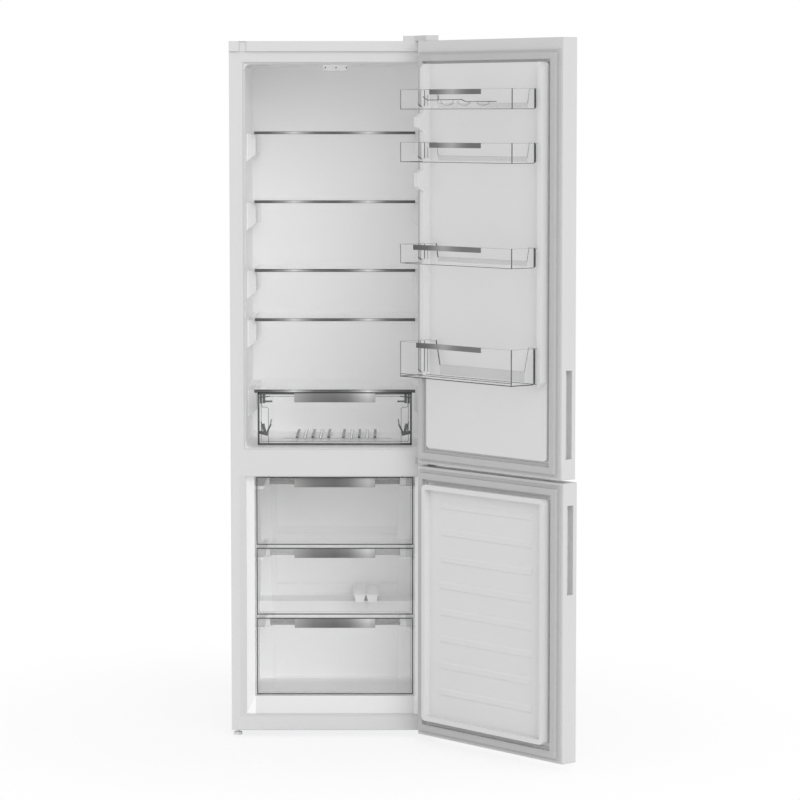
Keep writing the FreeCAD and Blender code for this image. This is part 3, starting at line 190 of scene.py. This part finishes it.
# the same on thinner rims, and thinner still, where less light is lost
softEdge = surfaced("softEdge", "#7d7f80", "#8b8d8e", 30, 0.6, 0.01, {"Roughness": 0.25, "IOR": 1.57})
faintEdge = surfaced("faintEdge", "#acadad", "#b8b9b9", 30, 0.6, 0.01, {"Roughness": 0.3, "IOR": 1.57})


# a clear moulding: see-through face on, greyer and shinier where it is seen edge-on;
# lamps and bounced light pass it, so what stands behind it stays lit
def clearMoulding(name, tint, opacity, edgeOpacity, roughness):
    material, tree = newMaterial(name)
    glancing = addNode(tree, "ShaderNodeLayerWeight", {"Blend": 0.5})
    amount = addNode(tree, "ShaderNodeMapRange", {"From Min": 0.35, "To Min": opacity, "To Max": edgeOpacity},
                     {"Value": glancing.outputs["Facing"]})
    place = addNode(tree, "ShaderNodeTexCoord").outputs["Object"]
    # flow marks 25 mm apart and 0.2 mm high
    flow = addNode(tree, "ShaderNodeTexNoise", {"Scale": 40, "Detail": 2}, {"Vector": place})
    bump = addNode(tree, "ShaderNodeBump", {"Strength": 0.15, "Distance": 0.0002},
                   {"Height": flow.outputs["Fac"]})
    body = addNode(tree, "ShaderNodeBsdfPrincipled",
                   {"Base Color": linear(tint), "Roughness": roughness, "IOR": 1.57},
                   {"Normal": bump.outputs["Normal"]})
    clear = addNode(tree, "ShaderNodeBsdfTransparent", {"Color": (1, 1, 1, 1)})
    seen = addNode(tree, "ShaderNodeMath", {"operation": "SUBTRACT", 0: 1.0},
                   {1: rayIs(tree, ("Is Shadow Ray", "Is Diffuse Ray"))})
    shown = addNode(tree, "ShaderNodeMath", {"operation": "MULTIPLY"},
                    {0: seen.outputs[0], 1: amount.outputs["Result"]})
    mixed = addNode(tree, "ShaderNodeMixShader", {},
                    {"Fac": shown.outputs[0], 1: clear.outputs["BSDF"], 2: body.outputs["BSDF"]})
    addNode(tree, "ShaderNodeOutputMaterial", {}, {"Surface": mixed.outputs["Shader"]})
    return material


# injection-moulded clear polystyrene of drawers and baskets: almost unseen but for its edges
clearStyrene = clearMoulding("clearStyrene", "#f2f3f3", 0.03, 0.16, 0.12)
# the same, greyed and half clear, as painted shade in the drawers' finger channels, fainter for the middle drawer,
# and as a faint grey sheet on the baskets' near walls
channelShadeStyrene = clearMoulding("channelShadeStyrene", "#6c6d6e", 0.5, 0.8, 0.3)
faintChannelShadeStyrene = clearMoulding("faintChannelShadeStyrene", "#6c6d6e", 0.26, 0.5, 0.3)
greySheetStyrene = clearMoulding("greySheetStyrene", "#7a7b7c", 0.12, 0.25, 0.3)
# toughened float glass of the shelves, faintly green
toughenedGlass = clearMoulding("toughenedGlass", "#e8ecea", 0.02, 0.25, 0.03)


# hot-foiled or anodised strip, brushed lengthwise: its grey is a painted reflection along it, darker with bright
# bands that are painted highlights of lamps
def paintedReflectionStrip(name, reflectionBands):
    material, tree = newMaterial(name)
    place = addNode(tree, "ShaderNodeTexCoord").outputs["Object"]
    along = addNode(tree, "ShaderNodeSeparateXYZ", {}, {"Vector": place})
    low, high = reflectionBands[0][0], reflectionBands[-1][0]
    share = addNode(tree, "ShaderNodeMapRange", {"From Min": low / 1000, "From Max": high / 1000},
                    {"Value": along.outputs["X"]})
    # the painted reflection's greys along X
    ramp = addNode(tree, "ShaderNodeValToRGB", {}, {"Fac": share.outputs["Result"]})
    stops = ramp.color_ramp.elements
    stops[0].position, stops[1].position = 0, 1
    for number, (x, grey) in enumerate(reflectionBands):
        stop = stops[0] if number == 0 else stops[-1] if x == high else stops.new((x - low) / (high - low))
        stop.color = linear("#" + f"{grey:02x}" * 3)
    # brush lines 0.6 mm apart, drawn coarser than the real ones so that they show
    lines = addNode(tree, "ShaderNodeMapping", {"Scale": (12, 12, 1700)}, {"Vector": place})
    grain = addNode(tree, "ShaderNodeTexNoise", {"Scale": 1, "Detail": 2}, {"Vector": lines.outputs["Vector"]})
    rough = addNode(tree, "ShaderNodeMapRange", {"To Min": 0.5, "To Max": 0.6}, {"Value": grain.outputs["Fac"]})
    bump = addNode(tree, "ShaderNodeBump", {"Strength": 0.3, "Distance": 0.00002},
                   {"Height": grain.outputs["Fac"]})
    surface = addNode(tree, "ShaderNodeBsdfPrincipled", {"Metallic": 1.0},
                      {"Base Color": ramp.outputs["Color"], "Roughness": rough.outputs["Result"],
                       "Normal": bump.outputs["Normal"]})
    addNode(tree, "ShaderNodeOutputMaterial", {}, {"Surface": surface.outputs["BSDF"]})
    return material


# each band of the painted reflection is a place in mm along X, with the door open for its baskets, and the grey there
anodisedTrim = paintedReflectionStrip("anodisedTrim", [(-250, 98), (-190, 106), (-150, 150), (-119, 208), (-90, 160),
                                             (-60, 116), (0, 100), (40, 116), (70, 164), (97, 216), (120, 176),
                                             (150, 120), (190, 104), (250, 96)])
gripFoil = paintedReflectionStrip("gripFoil", [(-250, 112), (-170, 120), (-148, 140), (-119, 168), (-90, 146), (-60, 124),
                                     (0, 110), (40, 122), (62, 148), (80, 168), (97, 184), (115, 164), (135, 138),
                                     (160, 118), (250, 104)])
doorFoil = paintedReflectionStrip("doorFoil", [(262, 122), (292, 138), (305, 156), (319, 175), (333, 182), (346, 162),
                                     (359, 142), (372, 128), (386, 120), (415, 122)])
lowDoorFoil = paintedReflectionStrip("lowDoorFoil", [(220, 112), (253, 121), (266, 127), (280, 144), (293, 160), (306, 178),
                                           (320, 166), (334, 146), (350, 134), (365, 128), (415, 130)])

finishes = {
    bakedEnamel: ["outer_shell", "mid_rail", "base_plinth", "mid_hinge", "upper_door_skin", "lower_door_skin",
                  "top_fascia", "hinge_blanks"],
    formedPolystyrene: ["fridge_liner", "air_duct_cover"],
    deepPolystyrene: ["freezer_liner"],
    doorPolystyrene: ["upper_door_liner", "lower_door_liner"],
    mouldedAbs: ["foot_left", "foot_right", "ice_tray"],
    greyAbs: ["top_hinge_cover", "upper_door_trims", "lower_door_trims"],
    sealPvc: ["upper_door_gasket", "lower_door_gasket"],
    urethaneFoam: ["cabinet_foam", "upper_door_foam", "lower_door_foam"],
    galvanisedSheet: ["rear_panel", "base_tray", "top_hinge", "bottom_hinge", "hinge_screws"],
    blackEnamel: ["compressor", "condenser_coil"],
    filledNylon: ["fan_motor", "fan_rotor", "drip_tray", "mains_inlet", "roller_left", "roller_right"],
    mountRubber: ["compressor_mounts"],
    millAluminium: ["evaporator"],
    clearStyrene: ["crisper_drawer", "freezer_drawer_top", "freezer_drawer_middle", "freezer_drawer_bottom",
                   "egg_tray", "door_basket_1", "door_basket_2", "door_basket_3", "door_basket_4"],
    toughenedGlass: ["crisper_glass", "shelf_glass_1", "shelf_glass_2", "shelf_glass_3", "shelf_glass_4"],
    anodisedTrim: ["crisper_trim", "shelf_trim_1", "shelf_trim_2", "shelf_trim_3", "shelf_trim_4"],
    # the lamp housing takes the opal's painted glow as well, though it is no lamp
    opalWithPaintedGlow: ["lamp_lens", "lamp_housing"],
}
for material, names in finishes.items():
    for name in names:
        nodes[name].data.materials.clear()
        nodes[name].data.materials.append(material)
print("finishes assigned:", sum(len(names) for names in finishes.values()))


def activate(things):
    bpy.ops.object.select_all(action="DESELECT")
    for thing in things:
        thing.select_set(True)
    bpy.context.view_layer.objects.active = things[0]


# a bar or plate between two places along each axis
def addPlate(xs, ys, zs):
    bpy.ops.object.select_all(action="DESELECT")
    middle = mm(*[(low + high) / 2 for low, high in (xs, ys, zs)])
    bpy.ops.mesh.primitive_cube_add(size=1, location=middle)
    plate = bpy.context.object
    plate.scale = [(high - low) / 1000 for low, high in (xs, ys, zs)]
    bpy.ops.object.transform_apply(location=False, rotation=False, scale=True)
    return plate


# a square bar from one point to another, half its width past each
def addBar(start, end, width):
    start, end = mm(*start), mm(*end)
    run = end - start
    bpy.ops.object.select_all(action="DESELECT")
    bpy.ops.mesh.primitive_cube_add(size=1, location=(start + end) / 2)
    bar = bpy.context.object
    bar.scale = (width / 1000, width / 1000, run.length + width / 1000)
    bar.rotation_euler = run.to_track_quat("Z", "Y").to_euler()
    bpy.ops.object.transform_apply(location=False, rotation=True, scale=True)
    return bar


# joins the parts of a piece, rounds its edges and gives it its place, finish and body
def finishPiece(name, things, material, body, roundMm=0.3, angle=0):
    activate(things)
    if len(things) > 1:
        bpy.ops.object.join()
    piece = bpy.context.object
    if roundMm:
        bevel = piece.modifiers.new("round", "BEVEL")
        bevel.width = roundMm / 1000
        bevel.segments = 2
        bevel.limit_method = "ANGLE"
        bpy.ops.object.modifier_apply(modifier="round")
    piece.matrix_world = swing(angle) @ piece.matrix_world
    bpy.ops.object.transform_apply(location=True, rotation=True, scale=True)
    bpy.ops.object.shade_smooth_by_angle(angle=math.radians(35))
    piece.name = name
    piece.data.materials.clear()
    piece.data.materials.append(material)
    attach(piece, body)


# edge lines, each bar given by its start, end and width
def edgePiece(name, bars, material, body, angle=0):
    things = [addBar(start, end, width) for start, end, width in bars]
    finishPiece(name, things, material, body, 0.2, angle)


# a foiled strip on a face, which looks towards -Y, or +Y on the door's baskets
def foilStrip(name, xs, face, towards, zs, material, body, angle=0):
    foil = {"proud": 0.6, "sunk": 0.2}
    ys = sorted((face + towards * foil["proud"], face - towards * foil["sunk"]))
    finishPiece(name, [addPlate(xs, ys, zs)], material, body, 0.3, angle)


# the four sides of an upright rectangle
def frameBars(half, y, low, high, width):
    return [((-half, y, low), (-half, y, high), width), ((half, y, low), (half, y, high), width),
            ((-half, y, low), (half, y, low), width), ((-half, y, high), (half, y, high), width)]


# bars from each point to the next
def chainBars(points, width):
    return [(a, b, width) for a, b in zip(points, points[1:])]


# the same bars on the left and the right, from x and z of both ends and the width
def sideBars(bars, y):
    return [((side * x1, y, z1), (side * x2, y, z2), width)
            for side in (-1, 1) for x1, z1, x2, z2, width in bars]


# freezer drawers: outlines, foiled strips with painted reflections, and grey half-clear plates painting the shade in
# their finger channels
freezerDrawers = {
    "top": {"low": 559, "high": 758, "back": 445, "strip": (727.6, 754), "lip": channelShadeStyrene},
    "middle": {"low": 354, "high": 550, "back": 445, "strip": (520.6, 547), "lip": faintChannelShadeStyrene},
    "bottom": {"low": 119, "high": 344.5, "back": 325, "strip": (315, 341.5), "lip": channelShadeStyrene},
}
drawerFront = {"half": 227.5, "near": 36, "far": 41, "edgeIn": 1.4, "edgeBehind": 1.2, "edgeWide": 3,
               "frame": 7, "lineBehind": 0.2, "lineWide": 1, "stripHalf": 117.5}
drawerTub = {"half": 186, "rimHalf": 222, "rimNear": 50, "rimDrop": 26, "rimWide": 1,
             "lipHalf": 190, "lipNear": 55.8, "lipFar": 56.3, "lipDrop": 24, "lipTop": 3}
for name, drawer in freezerDrawers.items():
    low, high, back, body = drawer["low"], drawer["high"], drawer["back"], f"{name}_drawer"
    half, edgeIn, line = drawerFront["half"], drawerFront["edgeIn"], drawerFront["frame"]
    outline = frameBars(half - edgeIn, drawerFront["near"] + drawerFront["edgeBehind"], low + edgeIn,
                        high - edgeIn, drawerFront["edgeWide"])
    edgePiece(f"{name}_drawer_outline", outline, darkEdge, body)
    inner = frameBars(half - line, drawerFront["far"] + drawerFront["lineBehind"], low + line, high - line,
                      drawerFront["lineWide"])
    edgePiece(f"{name}_drawer_inline", inner, faintEdge, body)
    tub, start, rim, wide = drawerTub["half"], drawerTub["rimNear"], high - drawerTub["rimDrop"], drawerTub["rimWide"]
    rims = [((side * tub, start, rim), (side * drawerTub["rimHalf"], start, rim), wide) for side in (-1, 1)]
    rims += [((side * tub, start, rim), (side * tub, back, rim), wide) for side in (-1, 1)]
    edgePiece(f"{name}_drawer_rim", rims, faintEdge, body)
    foilStrip(f"{name}_drawer_strip", (-drawerFront["stripHalf"], drawerFront["stripHalf"]), drawerFront["near"],
              -1, drawer["strip"], gripFoil, body)
    # a grey half-clear plate on the finger channel's lip, as painted shade
    lip = addPlate((-drawerTub["lipHalf"], drawerTub["lipHalf"]), (drawerTub["lipNear"], drawerTub["lipFar"]),
                   (high - drawerTub["lipDrop"], high - drawerTub["lipTop"]))
    finishPiece(f"{name}_drawer_lip", [lip], drawer["lip"], body, 0.1)
print("freezer drawers dressed")

# crisper: outline, strip, stepped side walls, dark stops and runners' ends, and capped ribs
crisper = {"half": 224, "near": 60, "far": 65, "low": 848.5, "high": 1000, "floor": 851.3,
           "edgeIn": 2.5, "edgeTop": 1.5, "edgeWide": 5.4, "frame": 10, "lineBehind": 0.2, "lineWide": 1.2,
           "strip": (973, 999), "stripHalf": 118,
           "stepY": 67, "stepWide": 1.4,
           "steps": [(212, 985), (212, 961), (209, 958), (196, 958), (193, 953), (193, 851.3)],
           "stopY": 69,
           "stops": [(199, 880, 215, 884, 9), (204, 888, 208, 906, 8), (200, 880, 187, 906, 5),
                     (187, 906, 185, 922, 3), (211, 884, 214, 914, 3)],
           "runnerY": 70,
           "runnerEnds": [(215, 972, 215, 995, 6), (206, 974, 206, 996, 8), (218, 986, 190, 990, 3),
                          (202, 975, 184, 975, 5)],
           # x and y of both ends, along the floor's front
           "floorLines": [(-143, 226, 150, 226), (-143, 226, -158, 222), (150, 226, 165, 222)],
           "floorLineUp": 0.5, "floorLineWide": 1}
line = crisper["frame"]
outline = frameBars(crisper["half"] - crisper["edgeIn"], crisper["near"] + crisper["edgeIn"],
                    crisper["low"] + crisper["edgeIn"], crisper["high"] - crisper["edgeTop"], crisper["edgeWide"])
edgePiece("crisper_outline", outline, darkEdge, "crisper")
inner = frameBars(crisper["half"] - line, crisper["far"] + crisper["lineBehind"], crisper["low"] + line,
                  crisper["high"] - line, crisper["lineWide"])
edgePiece("crisper_inline", inner, darkEdge, "crisper")
steps = []
for side in (-1, 1):
    steps += chainBars([(side * x, crisper["stepY"], z) for x, z in crisper["steps"]], crisper["stepWide"])
edgePiece("crisper_steps", steps, darkEdge, "crisper")
foilStrip("crisper_strip", (-crisper["stripHalf"], crisper["stripHalf"]), crisper["near"], -1, crisper["strip"],
          gripFoil, "crisper")
edgePiece("crisper_stops", sideBars(crisper["stops"], crisper["stopY"]), darkEdge, "crisper")
edgePiece("crisper_runner_ends", sideBars(crisper["runnerEnds"], crisper["runnerY"]), darkEdge, "crisper")

# the floor's ribs from the middle outwards, dark and pale by turns
ribs = {"first": 22, "pitch": 23.3, "half": 4, "height": 5, "near": 232, "far": 458, "dark": (0, 2, 4),
        "pale": (1, 3), "paleIn": 1.5, "capAhead": 0.3, "capUp": 0.3, "capSunk": 0.1, "endAhead": 0.5,
        "endSunk": 0.1, "lineIn": 0.8, "lineWide": 1.3}
foot, top = crisper["floor"], crisper["floor"] + ribs["height"]


def ribPlaces(shade):
    return [side * (ribs["first"] + number * ribs["pitch"]) for side in (-1, 1) for number in ribs[shade]]


# the pale caps glow faintly with the opal's painted glow
for shade, material, inset in (("dark", darkEdge, 0), ("pale", opalWithPaintedGlow, ribs["paleIn"])):
    caps, wide = [], ribs["half"] - inset
    for x in ribPlaces(shade):
        caps.append(addPlate((x - wide, x + wide), (ribs["near"] - ribs["capAhead"], ribs["far"]),
                             (top - ribs["capSunk"], top + ribs["capUp"])))
        caps.append(addPlate((x - wide, x + wide),
                             (ribs["near"] - ribs["endAhead"], ribs["near"] + ribs["endSunk"]), (foot, top)))
    finishPiece(f"crisper_rib_caps_{shade}", caps, material, "crisper", 0)
ribLines = []
for middle in ribPlaces("pale"):
    for edge in (-1, 1):
        x = middle + edge * (ribs["half"] - ribs["lineIn"])
        ribLines.append(((x, ribs["near"], top), (x, ribs["far"], top), ribs["lineWide"]))
        ribLines.append(((x, ribs["near"], foot), (x, ribs["near"], top), ribs["lineWide"]))
edgePiece("crisper_rib_lines", ribLines, darkEdge, "crisper")
z = foot + crisper["floorLineUp"]
floorLines = [((x1, y1, z), (x2, y2, z), crisper["floorLineWide"]) for x1, y1, x2, y2 in crisper["floorLines"]]
edgePiece("crisper_floor_line", floorLines, softEdge, "crisper")
print("crisper dressed")

# a pale plate behind the freezer's air slots closes the look through them
low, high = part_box("air_duct_cover")
louvre = {"behind": 2.6, "thick": 0.5, "margin": 6}
low, high = cornerMm(low), cornerMm(high)
front = low[1] + louvre["behind"]
plate = addPlate((low[0] + louvre["margin"], high[0] - louvre["margin"]), (front, front + louvre["thick"]),
                 (low[2] + louvre["margin"], high[2] - louvre["margin"]))
finishPiece("duct_louvres", [plate], formedPolystyrene, "cabinet", 0.2)
print("air duct dressed")

# door baskets: edges, rims, foiled strips, hooks and clips; near is beside the door's lining
baskets = {
    1: {"low": 1821, "high": 1875, "strip": (-109, 105), "dip": 16, "slope": 7, "base": 1.6, "foil": doorFoil},
    2: {"low": 1674, "high": 1728, "strip": (-109, 105), "dip": 16, "slope": 7, "base": 1.6, "foil": doorFoil},
    3: {"low": 1390, "high": 1443, "strip": (-110, 173), "dip": 16, "slope": 7, "base": 1.6, "foil": lowDoorFoil,
        "slopeWide": 2.4},
    4: {"low": 1071, "high": 1169, "strip": (-111, 160), "dip": 31, "slope": 16, "base": 2.6, "foil": lowDoorFoil,
        "slopeWide": 2.4, "sill": 7},
}
basketShape = {"half": 230.8, "near": 8.6, "far": 107.8, "stripY": 111, "stripHeight": 14, "dipHalf": 192,
               "baseNear": 28, "leftWide": 2.2, "rightWide": 1.4, "dipWide": 1.3, "rimWide": 0.8, "topWide": 0.7,
               # uprights of the hooks: x, y, above the base, below the rim, width
               "uprights": [(-231.5, 25, 2, 0, 3), (-231.9, 21.5, 4, 2, 1.6), (248, 25.5, 10, 2, 1.6),
                            (239.5, 25.5, 10, 2, 1.6), (224, 25.5, 10, 2, 1.6), (209.5, 25.5, 10, 14, 1.2)],
               "catch": {"y": 26.3, "xs": (248, 238), "up": (13, 7), "wide": 3.2},
               "clip": {"xs": (225, 239), "ys": (24.6, 25.6), "up": 10, "down": 2},
               "sill": {"wide": 1.6, "baseWide": 1.8, "baseBehind": 3},
               "greySheet": {"thick": 0.6, "up": 3, "down": 1}}
half, near, far = basketShape["half"], basketShape["near"], basketShape["far"]
wide, angle = basketShape["dipHalf"], cabinet["upperAngle"]
catch, clip, sill, greySheet = [basketShape[name] for name in ("catch", "clip", "sill", "greySheet")]
for number, basket in baskets.items():
    low, high, slope, base, body = basket["low"], basket["high"], basket["slope"], basket["base"], f"basket_{number}"
    dip = low + basket["dip"]
    edges = [((-half, far, low), (half, far, low), base),
             ((-half, far, low), (-half, far, high), basketShape["leftWide"]),
             ((half, far, low), (half, far, high), basketShape["rightWide"]),
             ((-half, basketShape["baseNear"], low), (-half, far, low), base),
             ((half, basketShape["baseNear"], low), (half, far, low), base),
             ((catch["xs"][0], catch["y"], low + catch["up"][0]), (catch["xs"][1], catch["y"], low + catch["up"][1]),
              catch["wide"])]
    edges += [((x, y, low + up), (x, y, high - down), width) for x, y, up, down, width in basketShape["uprights"]]
    if "sill" in basket:
        edges += [((-half, far, low + basket["sill"]), (half, far, low + basket["sill"]), sill["wide"]),
                  ((-half, near + sill["baseBehind"], low), (half, near + sill["baseBehind"], low),
                   sill["baseWide"])]
    if "slopeWide" in basket:
        edges.append(((wide, near, high), (wide - slope, near, dip), basket["slopeWide"]))
    edgePiece(f"basket_{number}_edges", edges, darkEdge, body, angle)
    rims = [((-wide, near, high), (-wide + slope, near, dip), basketShape["dipWide"]),
            ((wide, near, high), (wide - slope, near, dip), basketShape["dipWide"]),
            ((-wide + slope, near, dip), (wide - slope, near, dip), basketShape["rimWide"]),
            ((-half, near, high), (-wide, near, high), basketShape["rimWide"]),
            ((half, near, high), (wide, near, high), basketShape["rimWide"]),
            ((-half, far, high), (half, far, high), basketShape["topWide"]),
            ((-half, near, high), (-half, far, high), basketShape["topWide"]),
            ((half, near, high), (half, far, high), basketShape["topWide"])]
    edgePiece(f"basket_{number}_rims", rims, softEdge, body, angle)
    plate = addPlate(clip["xs"], clip["ys"], (low + clip["up"], high - clip["down"]))
    finishPiece(f"basket_{number}_clip", [plate], doorPolystyrene, body, 0.3, angle)
    # a faint grey half-clear sheet on the near wall, below the rim's dip
    plate = addPlate((slope - wide, wide - slope), (near, near + greySheet["thick"]),
                     (low + greySheet["up"], dip - greySheet["down"]))
    finishPiece(f"basket_{number}_haze", [plate], greySheetStyrene, body, 0.1, angle)
    foilStrip(f"basket_{number}_strip", basket["strip"], basketShape["stripY"], 1,
              (high - basketShape["stripHeight"], high), basket["foil"], body, angle)

# egg tray in the top basket: its wavy front edge with a stub, and the cups' arcs
eggTray = {"y": 60, "edge": [(190, 1855), (172, 1846), (28, 1847), (10, 1841), (-114, 1841)], "edgeWide": 2.2,
           "stubX": 125, "stub": (1847, 1858), "stubWide": 1.6,
           "cups": (95, 25, -55), "cupTop": 1842, "cupHalf": 26, "cupDepth": 11, "cupAhead": 6, "cupWide": 1.8}
y = eggTray["y"]
edge = chainBars([(x, y, z) for x, z in eggTray["edge"]], eggTray["edgeWide"])
edge.append((*[(eggTray["stubX"], y, z) for z in eggTray["stub"]], eggTray["stubWide"]))
edgePiece("egg_tray_edge", edge, darkEdge, "basket_1", angle)
cups = []
for x in eggTray["cups"]:
    turns = [math.radians(turn) for turn in range(0, 181, 30)]
    cups += chainBars([(x + eggTray["cupHalf"] * math.cos(turn), y - eggTray["cupAhead"],
                        eggTray["cupTop"] - eggTray["cupDepth"] * math.sin(turn)) for turn in turns],
                      eggTray["cupWide"])
edgePiece("egg_tray_cups", cups, softEdge, "basket_1", angle)
print("door baskets dressed")

# small marks: a plug in the fascia, two pins in the rail and the lamp's screws
fasciaPlug = {"x": 213, "z": 2001, "half": 4.5, "proud": 1.2}
railPins = {"xs": (-190, 197), "z": 761.5, "half": 2, "proud": 0.8}
lampMarks = {"xs": (-28, 3, 33), "half": 1.4, "halfHigh": 2.4, "proud": 0.4}


# stands proud of a face that looks forward, and goes 0.4 mm into it
def addMark(mark, x, face, z):
    high = mark.get("halfHigh", mark["half"])
    return addPlate((x - mark["half"], x + mark["half"]), (face - mark["proud"], face + 0.4), (z - high, z + high))


plug = addMark(fasciaPlug, fasciaPlug["x"], 0, fasciaPlug["z"])
finishPiece("fascia_plug", [plug], sealPvc, "cabinet", 0.6)
pins = [addMark(railPins, x, 0, railPins["z"]) for x in railPins["xs"]]
finishPiece("rail_pins", pins, darkEdge, "cabinet", 0.4)
low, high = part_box("lamp_housing")
low, high = cornerMm(low), cornerMm(high)
marks = [addMark(lampMarks, x, low[1], (low[2] + high[2]) / 2) for x in lampMarks["xs"]]
finishPiece("lamp_marks", marks, darkEdge, "cabinet", 0.3)
print("small marks placed")

studio = {"ambient": 0.82, "sun": 0.84, "sunFrom": (0.34, -1.0, 0.42), "sunSpread": 40,
          "floorSize": 60, "floor": "#f6f6f6", "floorShare": 0.8, "shadowFrom": 0.5, "shadowTo": 1.6}
backdropRays = ("Is Camera Ray", "Is Glossy Ray", "Is Transmission Ray")


# plain white to the camera, in gloss and through glass, with the object's shadow near it; a pale matte floor
# to the rest
def floorMaterial():
    material, tree = newMaterial("studioFloor")
    place = addNode(tree, "ShaderNodeTexCoord").outputs["Object"]
    away = addNode(tree, "ShaderNodeVectorMath", {"operation": "LENGTH"}, {0: place})
    fade = addNode(tree, "ShaderNodeMapRange",
                   {"interpolation_type": "SMOOTHSTEP", "From Min": studio["shadowFrom"],
                    "From Max": studio["shadowTo"], "To Min": studio["floorShare"], "To Max": 1.0},
                   {"Value": away.outputs["Value"]})
    share = addNode(tree, "ShaderNodeMath", {"operation": "MULTIPLY"},
                    {0: rayIs(tree, backdropRays), 1: fade.outputs["Result"]})
    matte = addNode(tree, "ShaderNodeBsdfDiffuse", {"Color": linear(studio["floor"])})
    white = addNode(tree, "ShaderNodeEmission", {"Strength": 1.0})
    mixed = addNode(tree, "ShaderNodeMixShader", {},
                    {"Fac": share.outputs[0], 1: matte.outputs["BSDF"], 2: white.outputs["Emission"]})
    addNode(tree, "ShaderNodeOutputMaterial", {}, {"Surface": mixed.outputs["Shader"]})
    return material


bpy.ops.object.select_all(action="DESELECT")
bpy.ops.mesh.primitive_plane_add(size=studio["floorSize"], location=(0, 0, 0))
floor = bpy.context.object
floor.name = "studio_floor"
floor.data.materials.append(floorMaterial())

world = bpy.data.worlds.new("studio")
world.use_nodes = True
bpy.context.scene.world = world
tree = world.node_tree
tree.nodes.clear()
strength = addNode(tree, "ShaderNodeMapRange", {"To Min": studio["ambient"], "To Max": 1.0},
                   {"Value": rayIs(tree, backdropRays)})
sky = addNode(tree, "ShaderNodeBackground", {"Color": (1, 1, 1, 1)}, {"Strength": strength.outputs["Result"]})
addNode(tree, "ShaderNodeOutputWorld", {}, {"Surface": sky.outputs["Background"]})

bpy.ops.object.light_add(type="SUN", location=(0, -4, 3))
sun = bpy.context.object
sun.name = "softSun"
sun.data.energy = studio["sun"]
sun.data.angle = math.radians(studio["sunSpread"])
sun.rotation_euler = Vector(studio["sunFrom"]).to_track_quat("Z", "Y").to_euler()

view = {"at": (0.18964, -9.53195, 1.79975), "down": 5.0421, "lens": 144.504, "sensor": 36, "clipEnd": 60}
bpy.ops.object.camera_add(location=view["at"], rotation=(math.radians(90 - view["down"]), 0, 0))
camera = bpy.context.object
camera.name = "photoCamera"
camera.data.lens = view["lens"]
camera.data.sensor_width = view["sensor"]
camera.data.clip_end = view["clipEnd"]
bpy.context.scene.camera = camera
bpy.context.scene.view_settings.view_transform = "Standard"
bpy.context.scene.cycles.transparent_max_bounces = 32  # a look into a drawer passes many clear walls
bpy.context.scene.cycles.diffuse_bounces = 10  # the white liners light each other
print("stage, lamps and camera set")

bpy.context.view_layer.update()
